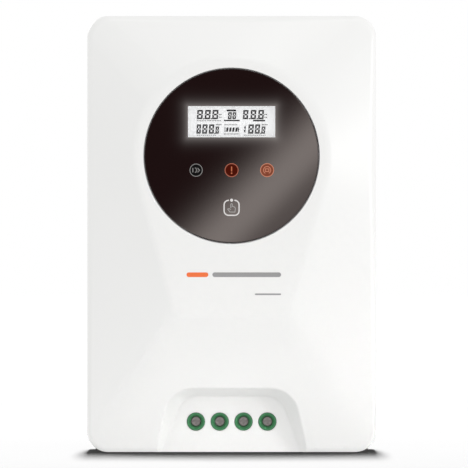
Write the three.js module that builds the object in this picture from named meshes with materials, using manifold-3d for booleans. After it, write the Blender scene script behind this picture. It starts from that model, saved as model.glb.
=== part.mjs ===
// A wall-mounted solar charge controller, in millimetres.
// X runs to the right as you face it, Y from front to back and Z up. The origin is the middle of its base.
import * as THREE from "three";
import { mergeVertices } from "three/addons/utils/BufferGeometryUtils.js";
import Module from "manifold-3d";

const wasm = await Module();
wasm.setup();

// ---------------------------------------------------------------- driving dimensions

const BODY = { width: 200, height: 302, corner: 14.5 };
const WALL = 2.6;
const GAP = 0.3;

// Planes clear of the object, where cutting tools start and end.
const AHEAD = -80;
const BEHIND = 60;

// Depths along Y, from the front of the display glass to the face that meets the wall.
const Y = {
  glassFront: -46,
  plateau: -45.6,
  glassBack: -44,
  glassSeat: -43.2,
  plateauInside: -41.2,
  lcdFront: -41,
  lcdBack: -38.2,
  trayBack: -34.2,
  displayFront: -34,
  displayBack: -32.4,
  edge: -27.6,
  edgeInside: -24.4,
  recessFloor: -21,
  boardFront: 12.4,
  boardBack: 14,
  rim: 20,
  gasketBack: 21.1,
  sinkFront: 21.2,
  sinkBack: 27,
  postBack: 40,
  finBack: 41,
  wallFace: 46,
};

// The raised plateau is a circle round the display that narrows downwards to a straight lower edge.
const PLATEAU = { radius: 66.8, centreZ: 204.8, bottomZ: 94.2, taper: rad(15.5), corner: 9, blend: 4 };
const FAN = { upper: rad(54), lower: rad(32) };
const SIDE_BREAK_Z = 172;
const EDGE_FILLET = 5;

// The terminal recess: its outline where it breaks the lower slope, and its outline on the floor.
const RECESS_RIM = { halfWidth: 52.4, top: 44.5, taper: rad(12.4), corner: 19.5 };
const RECESS_FLOOR = { halfWidth: 48.2, top: 39, taper: rad(21), corner: 15.5 };

// Screw sizes: head and shank are radii, and a hole is the radius that the shank passes through.
const M4 = { head: 4, headHeight: 2.4, shank: 2, length: 20, hole: 2.3 };
const M4_SHORT = { ...M4, length: 6 };
const M3 = { head: 3, headHeight: 2, shank: 1.5, length: 9, hole: 1.8 };
const M2 = { head: 2.4, headHeight: 1.5, shank: 1, length: 6, hole: 1.4 };
// A pan head narrows towards its top, where a cross is sunk into it. These are shares of its radius or height.
const PAN = { narrow: 0.72, crossReach: 0.45, crossHalf: 0.11, crossFloor: 0.45 };
const COVER_SCREWS = [-88, 88].flatMap((x) => [16, 286].map((z) => [x, z]));
const HANGER_SCREWS = [-88, 88].flatMap((x) => [35, 265].map((z) => [x, z]));
const BOARD_SCREWS = [-74, 74].flatMap((x) => [14, 243].map((z) => [x, z]));
const DISPLAY_SCREWS = [-41, 41].map((x) => [x, 165]);
const DISPLAY_PINS = [-41, 41].map((x) => [x, 244]);
const CLAMP_SCREW_X = [-15, 15];

// What the cover carries inside: bosses for its screws, and posts and pins for the display board.
const BOSS = { radius: 4.5, front: -35, holeFront: 4 };
const DISPLAY_POST = { radius: 3.5, back: -34.1, holeFront: -39.5 };
const DISPLAY_PIN = { radius: 1.4, back: -31, hole: 1.8 };

// The display: its glass disc, the display panel in its tray, the three lamps and the touch key.
const LENS = { radius: 60, chamfer: 0.5, clearance: 0.5, gasketWidth: 4.5 };
const LCD = { halfWidth: 29.7, bottom: 217.3, top: 238.2, margin: 0.8 };
const LCD_GLASS = { halfWidth: 33.5, bottom: 212, top: 243 };
const TRAY = { reach: 1, wall: 2, floor: 1.2 };
const LAMP = { pitch: 24.4, z: 194.9, radius: 4.6, clearance: 0.4, front: -43.8, back: -35.2 };
const GUIDE_BAR = { front: -40.6, back: -37, halfHeight: 1.5 };
const LED = { halfWidth: 1.4, halfHeight: 1.1, tall: 0.9 };
const TOUCH = { z: 169, radius: 4.2, clearance: 1.2, wire: 0.45, turns: 4, front: -43.4, length: 8.9 };

// Circuit boards. A chip is [left, right, bottom, top, height above the board].
const DISPLAY_BOARD = { halfWidth: 46, bottom: 159, top: 250, corner: 3 };
const DISPLAY_CHIPS = [[-8, 8, 180, 194, 1.4], [16, 26, 188, 194, 1.2]];
const MAIN_BOARD = { halfWidth: 80, bottom: 7, top: 250, corner: 3 };
const MAIN_CHIPS = [
  [-68, -52, 196, 212, 1.8],
  [44, 60, 200, 212, 2],
  [50, 66, 60, 82, 3.4],
  [-66, -54, 60, 78, 3.9],
];
const SPACER_RADIUS = 4;

// The power stage: inductor, capacitors, transistors with their clamping bar, and the flat cable's header.
const COIL = { z: 150, coreIn: 15, coreOut: 27, coreFront: -9.4, coreBack: 9.6, wire: 2.2, open: rad(50) };
const CAPACITOR = { radius: 9, front: -22, back: 12.2, crimp: 0.8 };
const CAPACITORS = [[-58, 104], [-58, 128], [58, 104]];
const MOSFET = { pitch: 32, halfWidth: 7.95, front: 15.5, back: 20.4, bottom: 256, top: 277 };
const LEG = { pitch: 5.45, half: 0.6, front: 17.4, back: 18, foot: 246 };
const PAD = { halfWidth: 45, front: 20.6, back: 21.1, bottom: 254, top: 279 };
const CLAMP_BAR = { halfWidth: 50, front: 12.4, back: 15.3, bottom: 262, top: 272 };
const HEADER = { halfWidth: 11, front: 4, bottom: 204, top: 214, wall: 1.6, floor: 1.7 };
const RIBBON = {
  halfWidth: 8.5,
  halfThick: 0.45,
  steps: 18,
  route: [[-32.2, 224], [-25, 224], [-16, 217], [-6, 209.5], [2, 209], [10.2, 209]],
};

// The data socket in the base: a plug pushed up from below fills its mouth.
const SOCKET = { left: -58, right: -42, front: -2, back: 12.1, bottom: 2.9, top: 17, wall: 2, backWall: 2.6 };
const SOCKET_KEY = { halfWidth: 3, front: 3, back: 1.4 };
const SOCKET_HOLE = { side: 0.5, back: 0.8 };

// Four poles side by side. Each has a housing, a screw, a rising cage and a current bar.
const POLE = { pitch: 16.5, count: 4, z: 21, wireY: 4.7, front: -18.2, back: 12.2, bottom: 3, top: 38 };
const POLE_X = Array.from({ length: POLE.count }, (_, i) => (i - (POLE.count - 1) / 2) * POLE.pitch);
const COLLAR = { radius: 6.05, front: -21.3 };
const WELL = { radius: 3.8, mouth: 5.3, mouthDepth: 1.6, back: -14, throat: 2.9, throatBack: -11 };
const CAGE_ROOM = { halfWidth: 6, front: -11.5, back: 11, bottom: 14.5, top: 27.5 };
const WIRE = { half: 4.1, depth: 4, top: 31, coverHole: 6 };
const SCREW = { head: 3.3, shank: 2.45, headFront: -17.4, headBack: -14.4, tip: -1.6 };
const SCREW_SLOT = { half: 0.5, deep: 1.3, reach: 4, arm: 1.9 };
const CAGE = { halfWidth: 5.6, front: -4.9, back: 10.6, bottom: 15.5, top: 26.5 };
const CAGE_WALL = { side: 1.6, front: 2.6, back: 2 };
const TAB = { halfWidth: 3.3, front: -1.3, back: 0.5, bottom: 15.4, top: 33.8, thick: 1.8, clearance: 0.4 };

// The back: a finned heatsink, and two hangers with keyholes and slots.
const KEYHOLE = { x: 50, headRadius: 5, slotRadius: 2.75, headZ: 262, slotZ: 272 };
// The pitch puts a fin behind the middle of each keyhole.
const FINS = { count: 35, pitch: KEYHOLE.x / 9, thick: 2, lowBeyond: 70, lowBack: 38, pocket: 6 };
const SINK = { inset: 0.6, postRadius: 5, hangerHoleFront: 31, boardHoleBack: 23, clampHoleBack: 25.5 };
const GASKET = { outerInset: 0.5, innerInset: 2.4 };
const HANGER = { sheet: 1.5, end: 95, foot: 75, crest: 69, bend: 0.6, halfWidth: 15, lowerHalfWidth: 14 };
const LOWER_SLOT = { x: 50, z: 35, halfLength: 6, radius: 2.75 };

// ---------------------------------------------------------------- materials

const paint = (color, roughness, metalness = 0) =>
  new THREE.MeshStandardMaterial({ color, roughness, metalness });

const MATERIAL = {
  shell: paint(0xf2f2f0, 0.35),
  glass: paint(0x1d1413, 0.06),
  foam: paint(0x1a1a1a, 0.95),
  lcd: paint(0xf3f3f4, 0.4),
  frame: paint(0xe9e9e4, 0.6),
  board: paint(0x1f5a36, 0.5),
  guide: paint(0xe6e3dc, 0.3),
  terminal: paint(0x2f7d4b, 0.45),
  plated: paint(0xb9b6b0, 0.35, 1),
  copper: paint(0xb0713c, 0.35, 1),
  sink: paint(0x9a9c9f, 0.5, 1),
  steel: paint(0xa6a8aa, 0.45, 1),
  ferrite: paint(0x3b3d40, 0.7),
  epoxy: paint(0x17181a, 0.55),
  sleeve: paint(0x1c2430, 0.4),
  ribbon: paint(0x9fa3a8, 0.6),
  rubber: paint(0x232425, 0.9),
};

// ---------------------------------------------------------------- solids

function rad(degrees) {
  return (degrees * Math.PI) / 180;
}

function toSolid(geometry) {
  const bare = geometry.index ? geometry.toNonIndexed() : geometry.clone();
  bare.deleteAttribute("normal");
  bare.deleteAttribute("uv");
  const merged = mergeVertices(bare, 1e-4);
  return new wasm.Manifold(
    new wasm.Mesh({
      numProp: 3,
      vertProperties: merged.attributes.position.array,
      triVerts: new Uint32Array(merged.index.array),
    }),
  );
}

function toGeometry(solid) {
  const { vertProperties, triVerts } = solid.getMesh();
  const geometry = new THREE.BufferGeometry();
  geometry.setAttribute("position", new THREE.BufferAttribute(vertProperties, 3));
  geometry.setIndex(new THREE.BufferAttribute(triVerts, 1));
  geometry.computeVertexNormals();
  return geometry;
}

const join = (...solids) => solids.reduce((a, b) => a.add(b));
const cut = (solid, ...tools) => tools.reduce((a, b) => a.subtract(b), solid);

function box(x0, x1, y0, y1, z0, z1) {
  const geometry = new THREE.BoxGeometry(x1 - x0, y1 - y0, z1 - z0);
  return toSolid(geometry.translate((x0 + x1) / 2, (y0 + y1) / 2, (z0 + z1) / 2));
}

// A round bar along Y, from y0 to y1; it tapers if it is given a second radius for its back end.
function rod(radius, y0, y1, x, z, sides = 20, backRadius = radius) {
  const geometry = new THREE.CylinderGeometry(backRadius, radius, y1 - y0, sides);
  return toSolid(geometry.translate(x, (y0 + y1) / 2, z));
}

// A round bar along Z.
function post(radius, z0, z1, x, y, sides = 20) {
  const geometry = new THREE.CylinderGeometry(radius, radius, z1 - z0, sides);
  return toSolid(geometry.rotateX(Math.PI / 2).translate(x, y, (z0 + z1) / 2));
}

// A body of revolution round a line along Y through (x, z), from a profile of [radius, y] points.
function turned(profile, x, z, sides = 32) {
  const points = profile.map(([r, y]) => new THREE.Vector2(r, y));
  return toSolid(new THREE.LatheGeometry(points, sides).translate(x, 0, z));
}

const prism = (shape, depth) =>
  new THREE.ExtrudeGeometry(shape, { depth, bevelEnabled: false, curveSegments: 6 });

// A flat shape drawn in X and Z, standing from y0 to y1.
const slabY = (shape, y0, y1) => toSolid(prism(shape, y1 - y0).rotateX(Math.PI / 2).translate(0, y1, 0));

// A profile drawn in X and Y, running from z0 to z1.
const slabZ = (shape, z0, z1) => toSolid(prism(shape, z1 - z0).translate(0, 0, z0));

// A profile drawn in Y and Z, running from x0 to x1.
function slabX(shape, x0, x1) {
  const turn = new THREE.Matrix4().makeBasis(
    new THREE.Vector3(0, 1, 0),
    new THREE.Vector3(0, 0, 1),
    new THREE.Vector3(1, 0, 0),
  );
  return toSolid(prism(shape, x1 - x0).applyMatrix4(turn).translate(x0, 0, 0));
}

const polygon = (points) => new THREE.Shape(points.map(([a, b]) => new THREE.Vector2(a, b)));

function roundedRect(left, right, bottom, top, r) {
  const shape = new THREE.Shape();
  shape.moveTo(left + r, bottom);
  shape.lineTo(right - r, bottom);
  shape.absarc(right - r, bottom + r, r, -Math.PI / 2, 0);
  shape.lineTo(right, top - r);
  shape.absarc(right - r, top - r, r, 0, Math.PI / 2);
  shape.lineTo(left + r, top);
  shape.absarc(left + r, top - r, r, Math.PI / 2, Math.PI);
  shape.lineTo(left, bottom + r);
  shape.absarc(left + r, bottom + r, r, Math.PI, 1.5 * Math.PI);
  return shape;
}

// Skins a stack of rings with the same number of points each, and closes both ends.
// Rings run clockwise as seen from the front, from the front ring to the back one.
function loft(rings) {
  const count = rings[0].length;
  const positions = rings.flat().flatMap((p) => [p.x, p.y, p.z]);
  const index = [];
  for (let r = 0; r + 1 < rings.length; r++) {
    for (let i = 0; i < count; i++) {
      const a = r * count + i;
      const b = r * count + ((i + 1) % count);
      index.push(a, b, a + count, a + count, b, b + count);
    }
  }
  const cap = (ring, offset, flip) => {
    const flat = ring.map((p) => new THREE.Vector2(p.x, p.z));
    for (const [a, b, c] of THREE.ShapeUtils.triangulateShape(flat, [])) {
      index.push(offset + a, offset + (flip ? c : b), offset + (flip ? b : c));
    }
  };
  cap(rings[0], 0, false);
  cap(rings[rings.length - 1], (rings.length - 1) * count, true);
  const geometry = new THREE.BufferGeometry();
  geometry.setAttribute("position", new THREE.Float32BufferAttribute(positions, 3));
  geometry.setIndex(index);
  return toSolid(geometry);
}

// ---------------------------------------------------------------- the cover's sculpted front

const onArc = (cx, cz, r, angle) => [cx + r * Math.cos(angle), cz + r * Math.sin(angle)];

function steps(count, from, to, make) {
  return Array.from({ length: count }, (_, i) => make(from + ((to - from) * i) / count));
}

const along = ([x0, z0], [x1, z1]) => (t) => [x0 + (x1 - x0) * t, z0 + (z1 - z0) * t];

// The right half of both outlines, from the top middle to the bottom middle, point for point.
function matchedHalves(plateauInset, bodyInset) {
  const r = PLATEAU.radius - plateauInset;
  const rc = PLATEAU.corner - plateauInset;
  const bottom = PLATEAU.bottomZ + plateauInset;
  const sin = Math.sin(PLATEAU.taper);
  const cos = Math.cos(PLATEAU.taper);
  const cx = (r - rc + (bottom + rc - PLATEAU.centreZ) * sin) / cos;
  const circle = (a) => onArc(0, PLATEAU.centreZ, r, a);
  const corner = (a) => onArc(cx, bottom + rc, rc, a);
  const br = BODY.corner - bodyInset;
  const right = BODY.width / 2 - bodyInset;
  const top = BODY.height - bodyInset;
  const topCorner = (a) => onArc(right - br, top - br, br, a);
  const lowCorner = (a) => onArc(right - br, bodyInset + br, br, a);
  const quarter = Math.PI / 2;
  const inner = [
    steps(5, quarter, FAN.upper, circle),
    steps(5, FAN.upper, FAN.lower, circle),
    steps(7, FAN.lower, -PLATEAU.taper, circle),
    steps(2, 0, 1, along(circle(-PLATEAU.taper), corner(-PLATEAU.taper))),
    steps(5, -PLATEAU.taper, -quarter, corner),
    steps(1, 0, 1, along(corner(-quarter), [0, bottom])),
  ];
  const outer = [
    steps(5, 0, 1, along([0, top], [right - br, top])),
    steps(5, quarter, 0, topCorner),
    steps(7, 0, 1, along([right, top - br], [right, SIDE_BREAK_Z])),
    steps(2, 0, 1, along([right, SIDE_BREAK_Z], [right, bodyInset + br])),
    steps(5, 0, -quarter, lowCorner),
    steps(1, 0, 1, along([right - br, bodyInset], [0, bodyInset])),
  ];
  return { inner: [...inner.flat(), [0, bottom]], outer: [...outer.flat(), [0, bodyInset]] };
}

function bothHalves(half) {
  const left = half.slice(1, -1).reverse();
  return [...half, ...left.map(([x, z]) => [-x, z])];
}

const quadratic = (a, b, c, t) => (1 - t) * (1 - t) * a + 2 * t * (1 - t) * b + t * t * c;

// The sculpted front as one solid, running straight back to the rim. Made smaller, it is the space inside.
function sculpted({ plateauInset, bodyInset, plateauY, edgeY, backY, blendSteps, filletSteps }) {
  const halves = matchedHalves(plateauInset, bodyInset);
  const inner = bothHalves(halves.inner);
  const outer = bothHalves(halves.outer);
  const start = bothHalves(matchedHalves(plateauInset + PLATEAU.blend, bodyInset).inner);
  const drop = edgeY - plateauY;
  const point = (i, distance, y) => {
    const [ax, az] = inner[i];
    const [bx, bz] = outer[i];
    const length = Math.hypot(bx - ax, bz - az);
    const t = distance / length;
    return new THREE.Vector3(ax + (bx - ax) * t, y ?? plateauY + drop * t, az + (bz - az) * t);
  };
  const span = (i) => Math.hypot(outer[i][0] - inner[i][0], outer[i][1] - inner[i][1]);
  const mix = (a, b, c, t) =>
    new THREE.Vector3(quadratic(a.x, b.x, c.x, t), quadratic(a.y, b.y, c.y, t), quadratic(a.z, b.z, c.z, t));
  const rings = [];
  for (let s = 0; s <= blendSteps; s++) {
    rings.push(
      inner.map((_, i) => {
        const a = new THREE.Vector3(start[i][0], plateauY, start[i][1]);
        return mix(a, point(i, 0), point(i, PLATEAU.blend), s / blendSteps);
      }),
    );
  }
  for (let s = 0; s <= filletSteps; s++) {
    rings.push(
      inner.map((_, i) => {
        const end = point(i, span(i), edgeY + EDGE_FILLET);
        return mix(point(i, span(i) - EDGE_FILLET), point(i, span(i)), end, s / filletSteps);
      }),
    );
  }
  rings.push(inner.map((_, i) => point(i, span(i), backY)));
  return loft(rings);
}

const slopeY = (z) => Y.plateau + ((Y.edge - Y.plateau) * (PLATEAU.bottomZ - z)) / PLATEAU.bottomZ;

// An arch open at the bottom: straight leaning sides, two round shoulders and a level top.
function arch({ halfWidth, top, taper, corner }, grow) {
  const below = -12;
  const tan = Math.tan(taper);
  const side = halfWidth + grow / Math.cos(taper);
  const z = top + grow;
  const r = corner + grow;
  const cx = side - z * tan - r * Math.tan((Math.PI / 2 - taper) / 2);
  const shoulder = (sign) => (a) => [sign * (cx + r * Math.cos(a)), z - r + r * Math.sin(a)];
  const shoulders = Array.from({ length: 9 }, (_, i) => taper + ((Math.PI / 2 - taper) * i) / 8);
  const right = shoulders.map(shoulder(1)).reverse();
  const left = shoulders.map(shoulder(-1));
  return [[-(side - below * tan), below], ...left, ...right, [side - below * tan, below]];
}

// The space of the terminal recess, grown by a wall's thickness when it is kept clear inside the cover.
function recess(grow) {
  const floorY = Y.recessFloor + grow;
  const rim = arch(RECESS_RIM, grow).map(([x, z]) => new THREE.Vector3(x, slopeY(z) + grow, z));
  const floor = arch(RECESS_FLOOR, grow).map(([x, z]) => new THREE.Vector3(x, floorY, z));
  const outside = floor.map((p, i) => p.clone().lerp(rim[i], 1.35));
  const front = outside.map((p) => new THREE.Vector3(p.x, AHEAD, p.z));
  return loft([front, outside, floor]);
}

// ---------------------------------------------------------------- enclosure

function frontShell() {
  const outer = sculpted({
    plateauInset: 0,
    bodyInset: 0,
    plateauY: Y.plateau,
    edgeY: Y.edge,
    backY: Y.rim,
    blendSteps: 3,
    filletSteps: 3,
  });
  const cavity = sculpted({
    plateauInset: 1.5,
    bodyInset: WALL,
    plateauY: Y.plateauInside,
    edgeY: Y.edgeInside,
    backY: Y.rim + 1,
    blendSteps: 1,
    filletSteps: 1,
  });
  const { plateauInside } = Y;
  const bosses = COVER_SCREWS.map(([x, z]) => rod(BOSS.radius, BOSS.front, Y.rim - 0.2, x, z, 12));
  const posts = DISPLAY_SCREWS.map(([x, z]) =>
    rod(DISPLAY_POST.radius, plateauInside - 1, DISPLAY_POST.back, x, z, 12),
  );
  const pins = DISPLAY_PINS.map(([x, z]) =>
    rod(DISPLAY_PIN.radius, plateauInside - 1, DISPLAY_PIN.back, x, z, 10),
  );
  const hollow = cut(cavity, recess(WALL), ...bosses, ...posts, ...pins);
  const seat = rod(LENS.radius + LENS.clearance, AHEAD, Y.glassSeat, 0, PLATEAU.centreZ, 56);
  const throughWall = [AHEAD, plateauInside + 1];
  const side = LCD.halfWidth + LCD.margin;
  const lcdWindow = box(-side, side, ...throughWall, LCD.bottom - LCD.margin, LCD.top + LCD.margin);
  const lampHoles = [-1, 0, 1].map((i) =>
    rod(LAMP.radius + LAMP.clearance, ...throughWall, i * LAMP.pitch, LAMP.z, 16),
  );
  const touchHole = rod(TOUCH.radius + TOUCH.clearance, ...throughWall, 0, TOUCH.z, 16);
  const screwHoles = COVER_SCREWS.map(([x, z]) => rod(M4.hole, BOSS.holeFront, BEHIND, x, z, 12));
  const displayHoles = DISPLAY_SCREWS.map(([x, z]) =>
    rod(M2.hole, DISPLAY_POST.holeFront, Y.trayBack + 1, x, z, 10),
  );
  const throughFloor = [AHEAD, Y.recessFloor + WALL + 1];
  const collarHoles = POLE_X.map((x) => rod(COLLAR.radius + GAP, ...throughFloor, x, POLE.z, 22));
  const wireHoles = POLE_X.map((x) => post(WIRE.coverHole, -1, WALL + 1, x, POLE.wireY, 18));
  const socketHole = box(
    SOCKET.left + SOCKET_HOLE.side, SOCKET.right - SOCKET_HOLE.side,
    SOCKET.front + SOCKET_HOLE.side, SOCKET.back - SOCKET_HOLE.back,
    -1, WALL + 1,
  );
  return cut(
    outer, recess(0), hollow, seat, lcdWindow, touchHole, socketHole,
    ...lampHoles, ...screwHoles, ...displayHoles, ...collarHoles, ...wireHoles,
  );
}

function shellGasket() {
  const ring = (inset) =>
    roundedRect(
      inset - BODY.width / 2, BODY.width / 2 - inset, inset, BODY.height - inset, BODY.corner - inset,
    );
  return cut(
    slabY(ring(GASKET.outerInset), Y.rim + 0.1, Y.gasketBack),
    slabY(ring(GASKET.innerInset), Y.rim - 1, Y.sinkBack),
  );
}

// Die-cast base plate with upright fins. The outer fins are lower, to pass under the ends of the hangers.
function rearHeatsink() {
  const half = BODY.width / 2 - SINK.inset;
  const outline = roundedRect(-half, half, 0, BODY.height - SINK.inset, BODY.corner - SINK.inset);
  const base = slabY(outline, Y.sinkFront, Y.sinkBack);
  const fins = Array.from({ length: FINS.count }, (_, i) => {
    const x = (i - (FINS.count - 1) / 2) * FINS.pitch;
    const back = Math.abs(x) > FINS.lowBeyond ? FINS.lowBack : Y.finBack;
    return box(x - FINS.thick / 2, x + FINS.thick / 2, Y.sinkBack - 1, back, -1, BODY.height);
  });
  const pockets = COVER_SCREWS.map(([x, z]) => rod(FINS.pocket, Y.sinkBack, BEHIND, x, z, 16));
  const trimmed = cut(join(...fins).intersect(slabY(outline, Y.sinkFront, Y.wallFace)), ...pockets);
  const posts = HANGER_SCREWS.map(([x, z]) => rod(SINK.postRadius, Y.sinkBack - 1, Y.postBack, x, z, 16));
  const coverHoles = COVER_SCREWS.map(([x, z]) => rod(M4.hole, 0, BEHIND, x, z, 12));
  const hangerHoles = HANGER_SCREWS.map(([x, z]) => rod(M4.hole, SINK.hangerHoleFront, BEHIND, x, z, 12));
  const boardHoles = BOARD_SCREWS.map(([x, z]) => rod(M3.hole, 0, SINK.boardHoleBack, x, z, 10));
  const clampZ = (CLAMP_BAR.bottom + CLAMP_BAR.top) / 2;
  const clampHoles = CLAMP_SCREW_X.map((x) => rod(M3.hole, 0, SINK.clampHoleBack, x, clampZ, 10));
  const solid = join(base, trimmed, ...posts);
  return cut(solid, ...coverHoles, ...hangerHoles, ...boardHoles, ...clampHoles);
}

// A hat-section steel strip: its ends sit on the posts and its middle stands out to meet the wall.
function hanger(z, halfWidth, openings) {
  const { sheet, end, foot, crest, bend } = HANGER;
  const low = Y.postBack + 0.1;
  const high = Y.wallFace - sheet;
  const profile = [
    [-end, low], [-foot, low], [-crest, high], [crest, high], [foot, low], [end, low],
    [end, low + sheet], [foot + bend, low + sheet], [crest + bend, high + sheet],
    [-crest - bend, high + sheet], [-foot - bend, low + sheet], [-end, low + sheet],
  ];
  const screwHoles = [-1, 1].map((side) => rod(M4.hole, 0, BEHIND, side * HANGER_SCREWS[2][0], z, 12));
  return cut(slabZ(polygon(profile), z - halfWidth, z + halfWidth), ...openings, ...screwHoles);
}

function upperHanger() {
  const through = [Y.wallFace - 3, BEHIND];
  const keyholes = [-KEYHOLE.x, KEYHOLE.x].flatMap((x) => [
    rod(KEYHOLE.headRadius, ...through, x, KEYHOLE.headZ, 24),
    rod(KEYHOLE.slotRadius, ...through, x, KEYHOLE.slotZ, 16),
    box(x - KEYHOLE.slotRadius, x + KEYHOLE.slotRadius, ...through, KEYHOLE.headZ, KEYHOLE.slotZ),
  ]);
  return hanger(HANGER_SCREWS[1][1], HANGER.halfWidth, keyholes);
}

function lowerHanger() {
  const through = [Y.wallFace - 3, BEHIND];
  const { halfLength, radius, z } = LOWER_SLOT;
  const slots = [-LOWER_SLOT.x, LOWER_SLOT.x].flatMap((x) => [
    box(x - halfLength, x + halfLength, ...through, z - radius, z + radius),
    rod(radius, ...through, x - halfLength, z, 16),
    rod(radius, ...through, x + halfLength, z, 16),
  ]);
  return hanger(HANGER_SCREWS[0][1], HANGER.lowerHalfWidth, slots);
}

// A pan-head screw along Y with a cross recess. `towards` is +1 when its head faces the back.
function panScrew(x, z, seatY, towards, { head, headHeight, shank, length }) {
  const span = (near, far) => (towards > 0 ? [seatY + near, seatY + far] : [seatY - far, seatY - near]);
  const narrow = head * PAN.narrow;
  const cap = span(0, headHeight);
  const headSolid = rod(towards > 0 ? head : narrow, ...cap, x, z, 12, towards > 0 ? narrow : head);
  const body = join(headSolid, rod(shank, ...span(-length, 0.2), x, z, 8));
  const arm = head * PAN.crossReach;
  const thin = head * PAN.crossHalf;
  const depth = span(headHeight * PAN.crossFloor, headHeight + 1);
  return cut(
    body,
    box(x - arm, x + arm, ...depth, z - thin, z + thin),
    box(x - thin, x + thin, ...depth, z - arm, z + arm),
  );
}

// ---------------------------------------------------------------- display

function displayLens() {
  const { radius, chamfer } = LENS;
  const profile = [
    [0, Y.glassFront], [radius - chamfer, Y.glassFront],
    [radius, Y.glassFront + chamfer], [radius, Y.glassBack], [0, Y.glassBack],
  ];
  return turned(profile, 0, PLATEAU.centreZ, 56);
}

function lensGasket() {
  const outer = rod(LENS.radius, Y.glassBack + 0.1, Y.glassSeat - 0.1, 0, PLATEAU.centreZ, 40);
  return cut(outer, rod(LENS.radius - LENS.gasketWidth, AHEAD, BEHIND, 0, PLATEAU.centreZ, 60));
}

function lcdPanel() {
  const { halfWidth, bottom, top } = LCD_GLASS;
  return box(-halfWidth, halfWidth, Y.lcdFront, Y.lcdBack, bottom, top);
}

function lcdBacklight() {
  const { reach, wall, floor } = TRAY;
  const [half, bottom, top] = [LCD_GLASS.halfWidth + reach, LCD_GLASS.bottom - reach, LCD_GLASS.top + reach];
  return cut(
    box(-half, half, Y.lcdBack + 0.2, Y.trayBack, bottom, top),
    box(wall - half, half - wall, Y.lcdFront, Y.trayBack - floor, bottom + wall, top - wall),
  );
}

// A circuit board standing from front to back, with chips on its front or its back face.
function circuitBoard({ halfWidth, bottom, top, corner }, front, back, chips, chipSide) {
  const board = slabY(roundedRect(-halfWidth, halfWidth, bottom, top, corner), front, back);
  const sunk = 0.4;
  const chipSolids = chips.map(([left, right, low, high, tall]) => {
    const depths = chipSide === "front" ? [front - tall, front + sunk] : [back - sunk, back + tall];
    return box(left, right, ...depths, low, high);
  });
  return join(board, ...chipSolids);
}

function displayBoard() {
  const { displayFront: front, displayBack: back } = Y;
  const board = circuitBoard(DISPLAY_BOARD, front, back, DISPLAY_CHIPS, "back");
  const leds = [-1, 0, 1].map((i) => {
    const x = i * LAMP.pitch;
    const { halfWidth, halfHeight, tall } = LED;
    const [low, high] = [LAMP.z - halfHeight, LAMP.z + halfHeight];
    return box(x - halfWidth, x + halfWidth, front - tall, front + 0.5, low, high);
  });
  const holes = DISPLAY_SCREWS.map(([x, z]) => rod(M2.hole, front - 1, back + 1, x, z, 10));
  const pinHoles = DISPLAY_PINS.map(([x, z]) => rod(DISPLAY_PIN.hole, front - 1, back + 1, x, z, 10));
  return cut(join(board, ...leds), ...holes, ...pinHoles);
}

// The sprung contact that carries the touch key's field to the back of the glass.
class Helix extends THREE.Curve {
  getPoint(t) {
    const a = t * TOUCH.turns * 2 * Math.PI;
    return new THREE.Vector3(
      TOUCH.radius * Math.cos(a),
      TOUCH.front + TOUCH.length * t,
      TOUCH.z + TOUCH.radius * Math.sin(a),
    );
  }
}

function touchSpring() {
  const wire = new THREE.Shape();
  wire.absarc(0, 0, TOUCH.wire, 0, 2 * Math.PI);
  const swept = new THREE.ExtrudeGeometry(wire, {
    steps: 44,
    curveSegments: 3,
    bevelEnabled: false,
    extrudePath: new Helix(),
  });
  return toSolid(swept);
}

// One moulding: a light guide behind each of the three marks, joined by a bar behind the front wall.
function lightGuide() {
  const { front, back, halfHeight } = GUIDE_BAR;
  const guides = [-1, 0, 1].map((i) => rod(LAMP.radius, LAMP.front, LAMP.back, i * LAMP.pitch, LAMP.z, 16));
  return join(box(-LAMP.pitch, LAMP.pitch, front, back, LAMP.z - halfHeight, LAMP.z + halfHeight), ...guides);
}

// ---------------------------------------------------------------- power board

function mainBoard() {
  const holes = BOARD_SCREWS.map(([x, z]) => rod(M3.hole, Y.boardFront - 1, Y.boardBack + 1, x, z, 10));
  return cut(circuitBoard(MAIN_BOARD, Y.boardFront, Y.boardBack, MAIN_CHIPS, "front"), ...holes);
}

function boardSpacer(x, z) {
  const [front, back] = [Y.boardBack + 0.1, Y.sinkFront - 0.1];
  return cut(rod(SPACER_RADIUS, front, back, x, z, 6), rod(M3.hole, front - 1, back + 1, x, z, 10));
}

function commSocket() {
  const { left, right, front, back, bottom, top, wall, backWall } = SOCKET;
  const middle = (left + right) / 2;
  const key = SOCKET_KEY;
  return cut(
    box(left, right, front, back, bottom, top),
    box(left + wall, right - wall, front + wall, back - backWall, bottom - 1, top - wall),
    box(
      middle - key.halfWidth, middle + key.halfWidth, back - key.front, back - key.back,
      bottom - 1, top - wall,
    ),
  );
}

function inductorCore() {
  const { coreIn, coreOut, coreFront, coreBack, z } = COIL;
  const chamfer = 1.5;
  const profile = [
    [coreIn, coreFront + chamfer], [coreIn + chamfer, coreFront], [coreOut - chamfer, coreFront],
    [coreOut, coreFront + chamfer], [coreOut, coreBack - chamfer], [coreOut - chamfer, coreBack],
    [coreIn + chamfer, coreBack], [coreIn, coreBack - chamfer], [coreIn, coreFront + chamfer],
  ];
  return turned(profile, 0, z, 26);
}

// The winding wraps the core and leaves a gap between its first and last turns.
function inductorCoil() {
  const { coreIn, coreOut, coreFront, coreBack, wire, open, z } = COIL;
  const tube = (grow) => [
    [coreIn - grow, coreFront - grow], [coreOut + grow, coreFront - grow],
    [coreOut + grow, coreBack + grow], [coreIn - grow, coreBack + grow], [coreIn - grow, coreFront - grow],
  ];
  const reach = 2 * coreOut;
  const spread = reach * Math.sin(open / 2);
  const wedge = slabY(polygon([[0, z], [spread, z - reach], [-spread, z - reach]]), AHEAD, BEHIND);
  return cut(turned(tube(GAP + wire), 0, z, 26), turned(tube(GAP), 0, z, 26), wedge);
}

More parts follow.
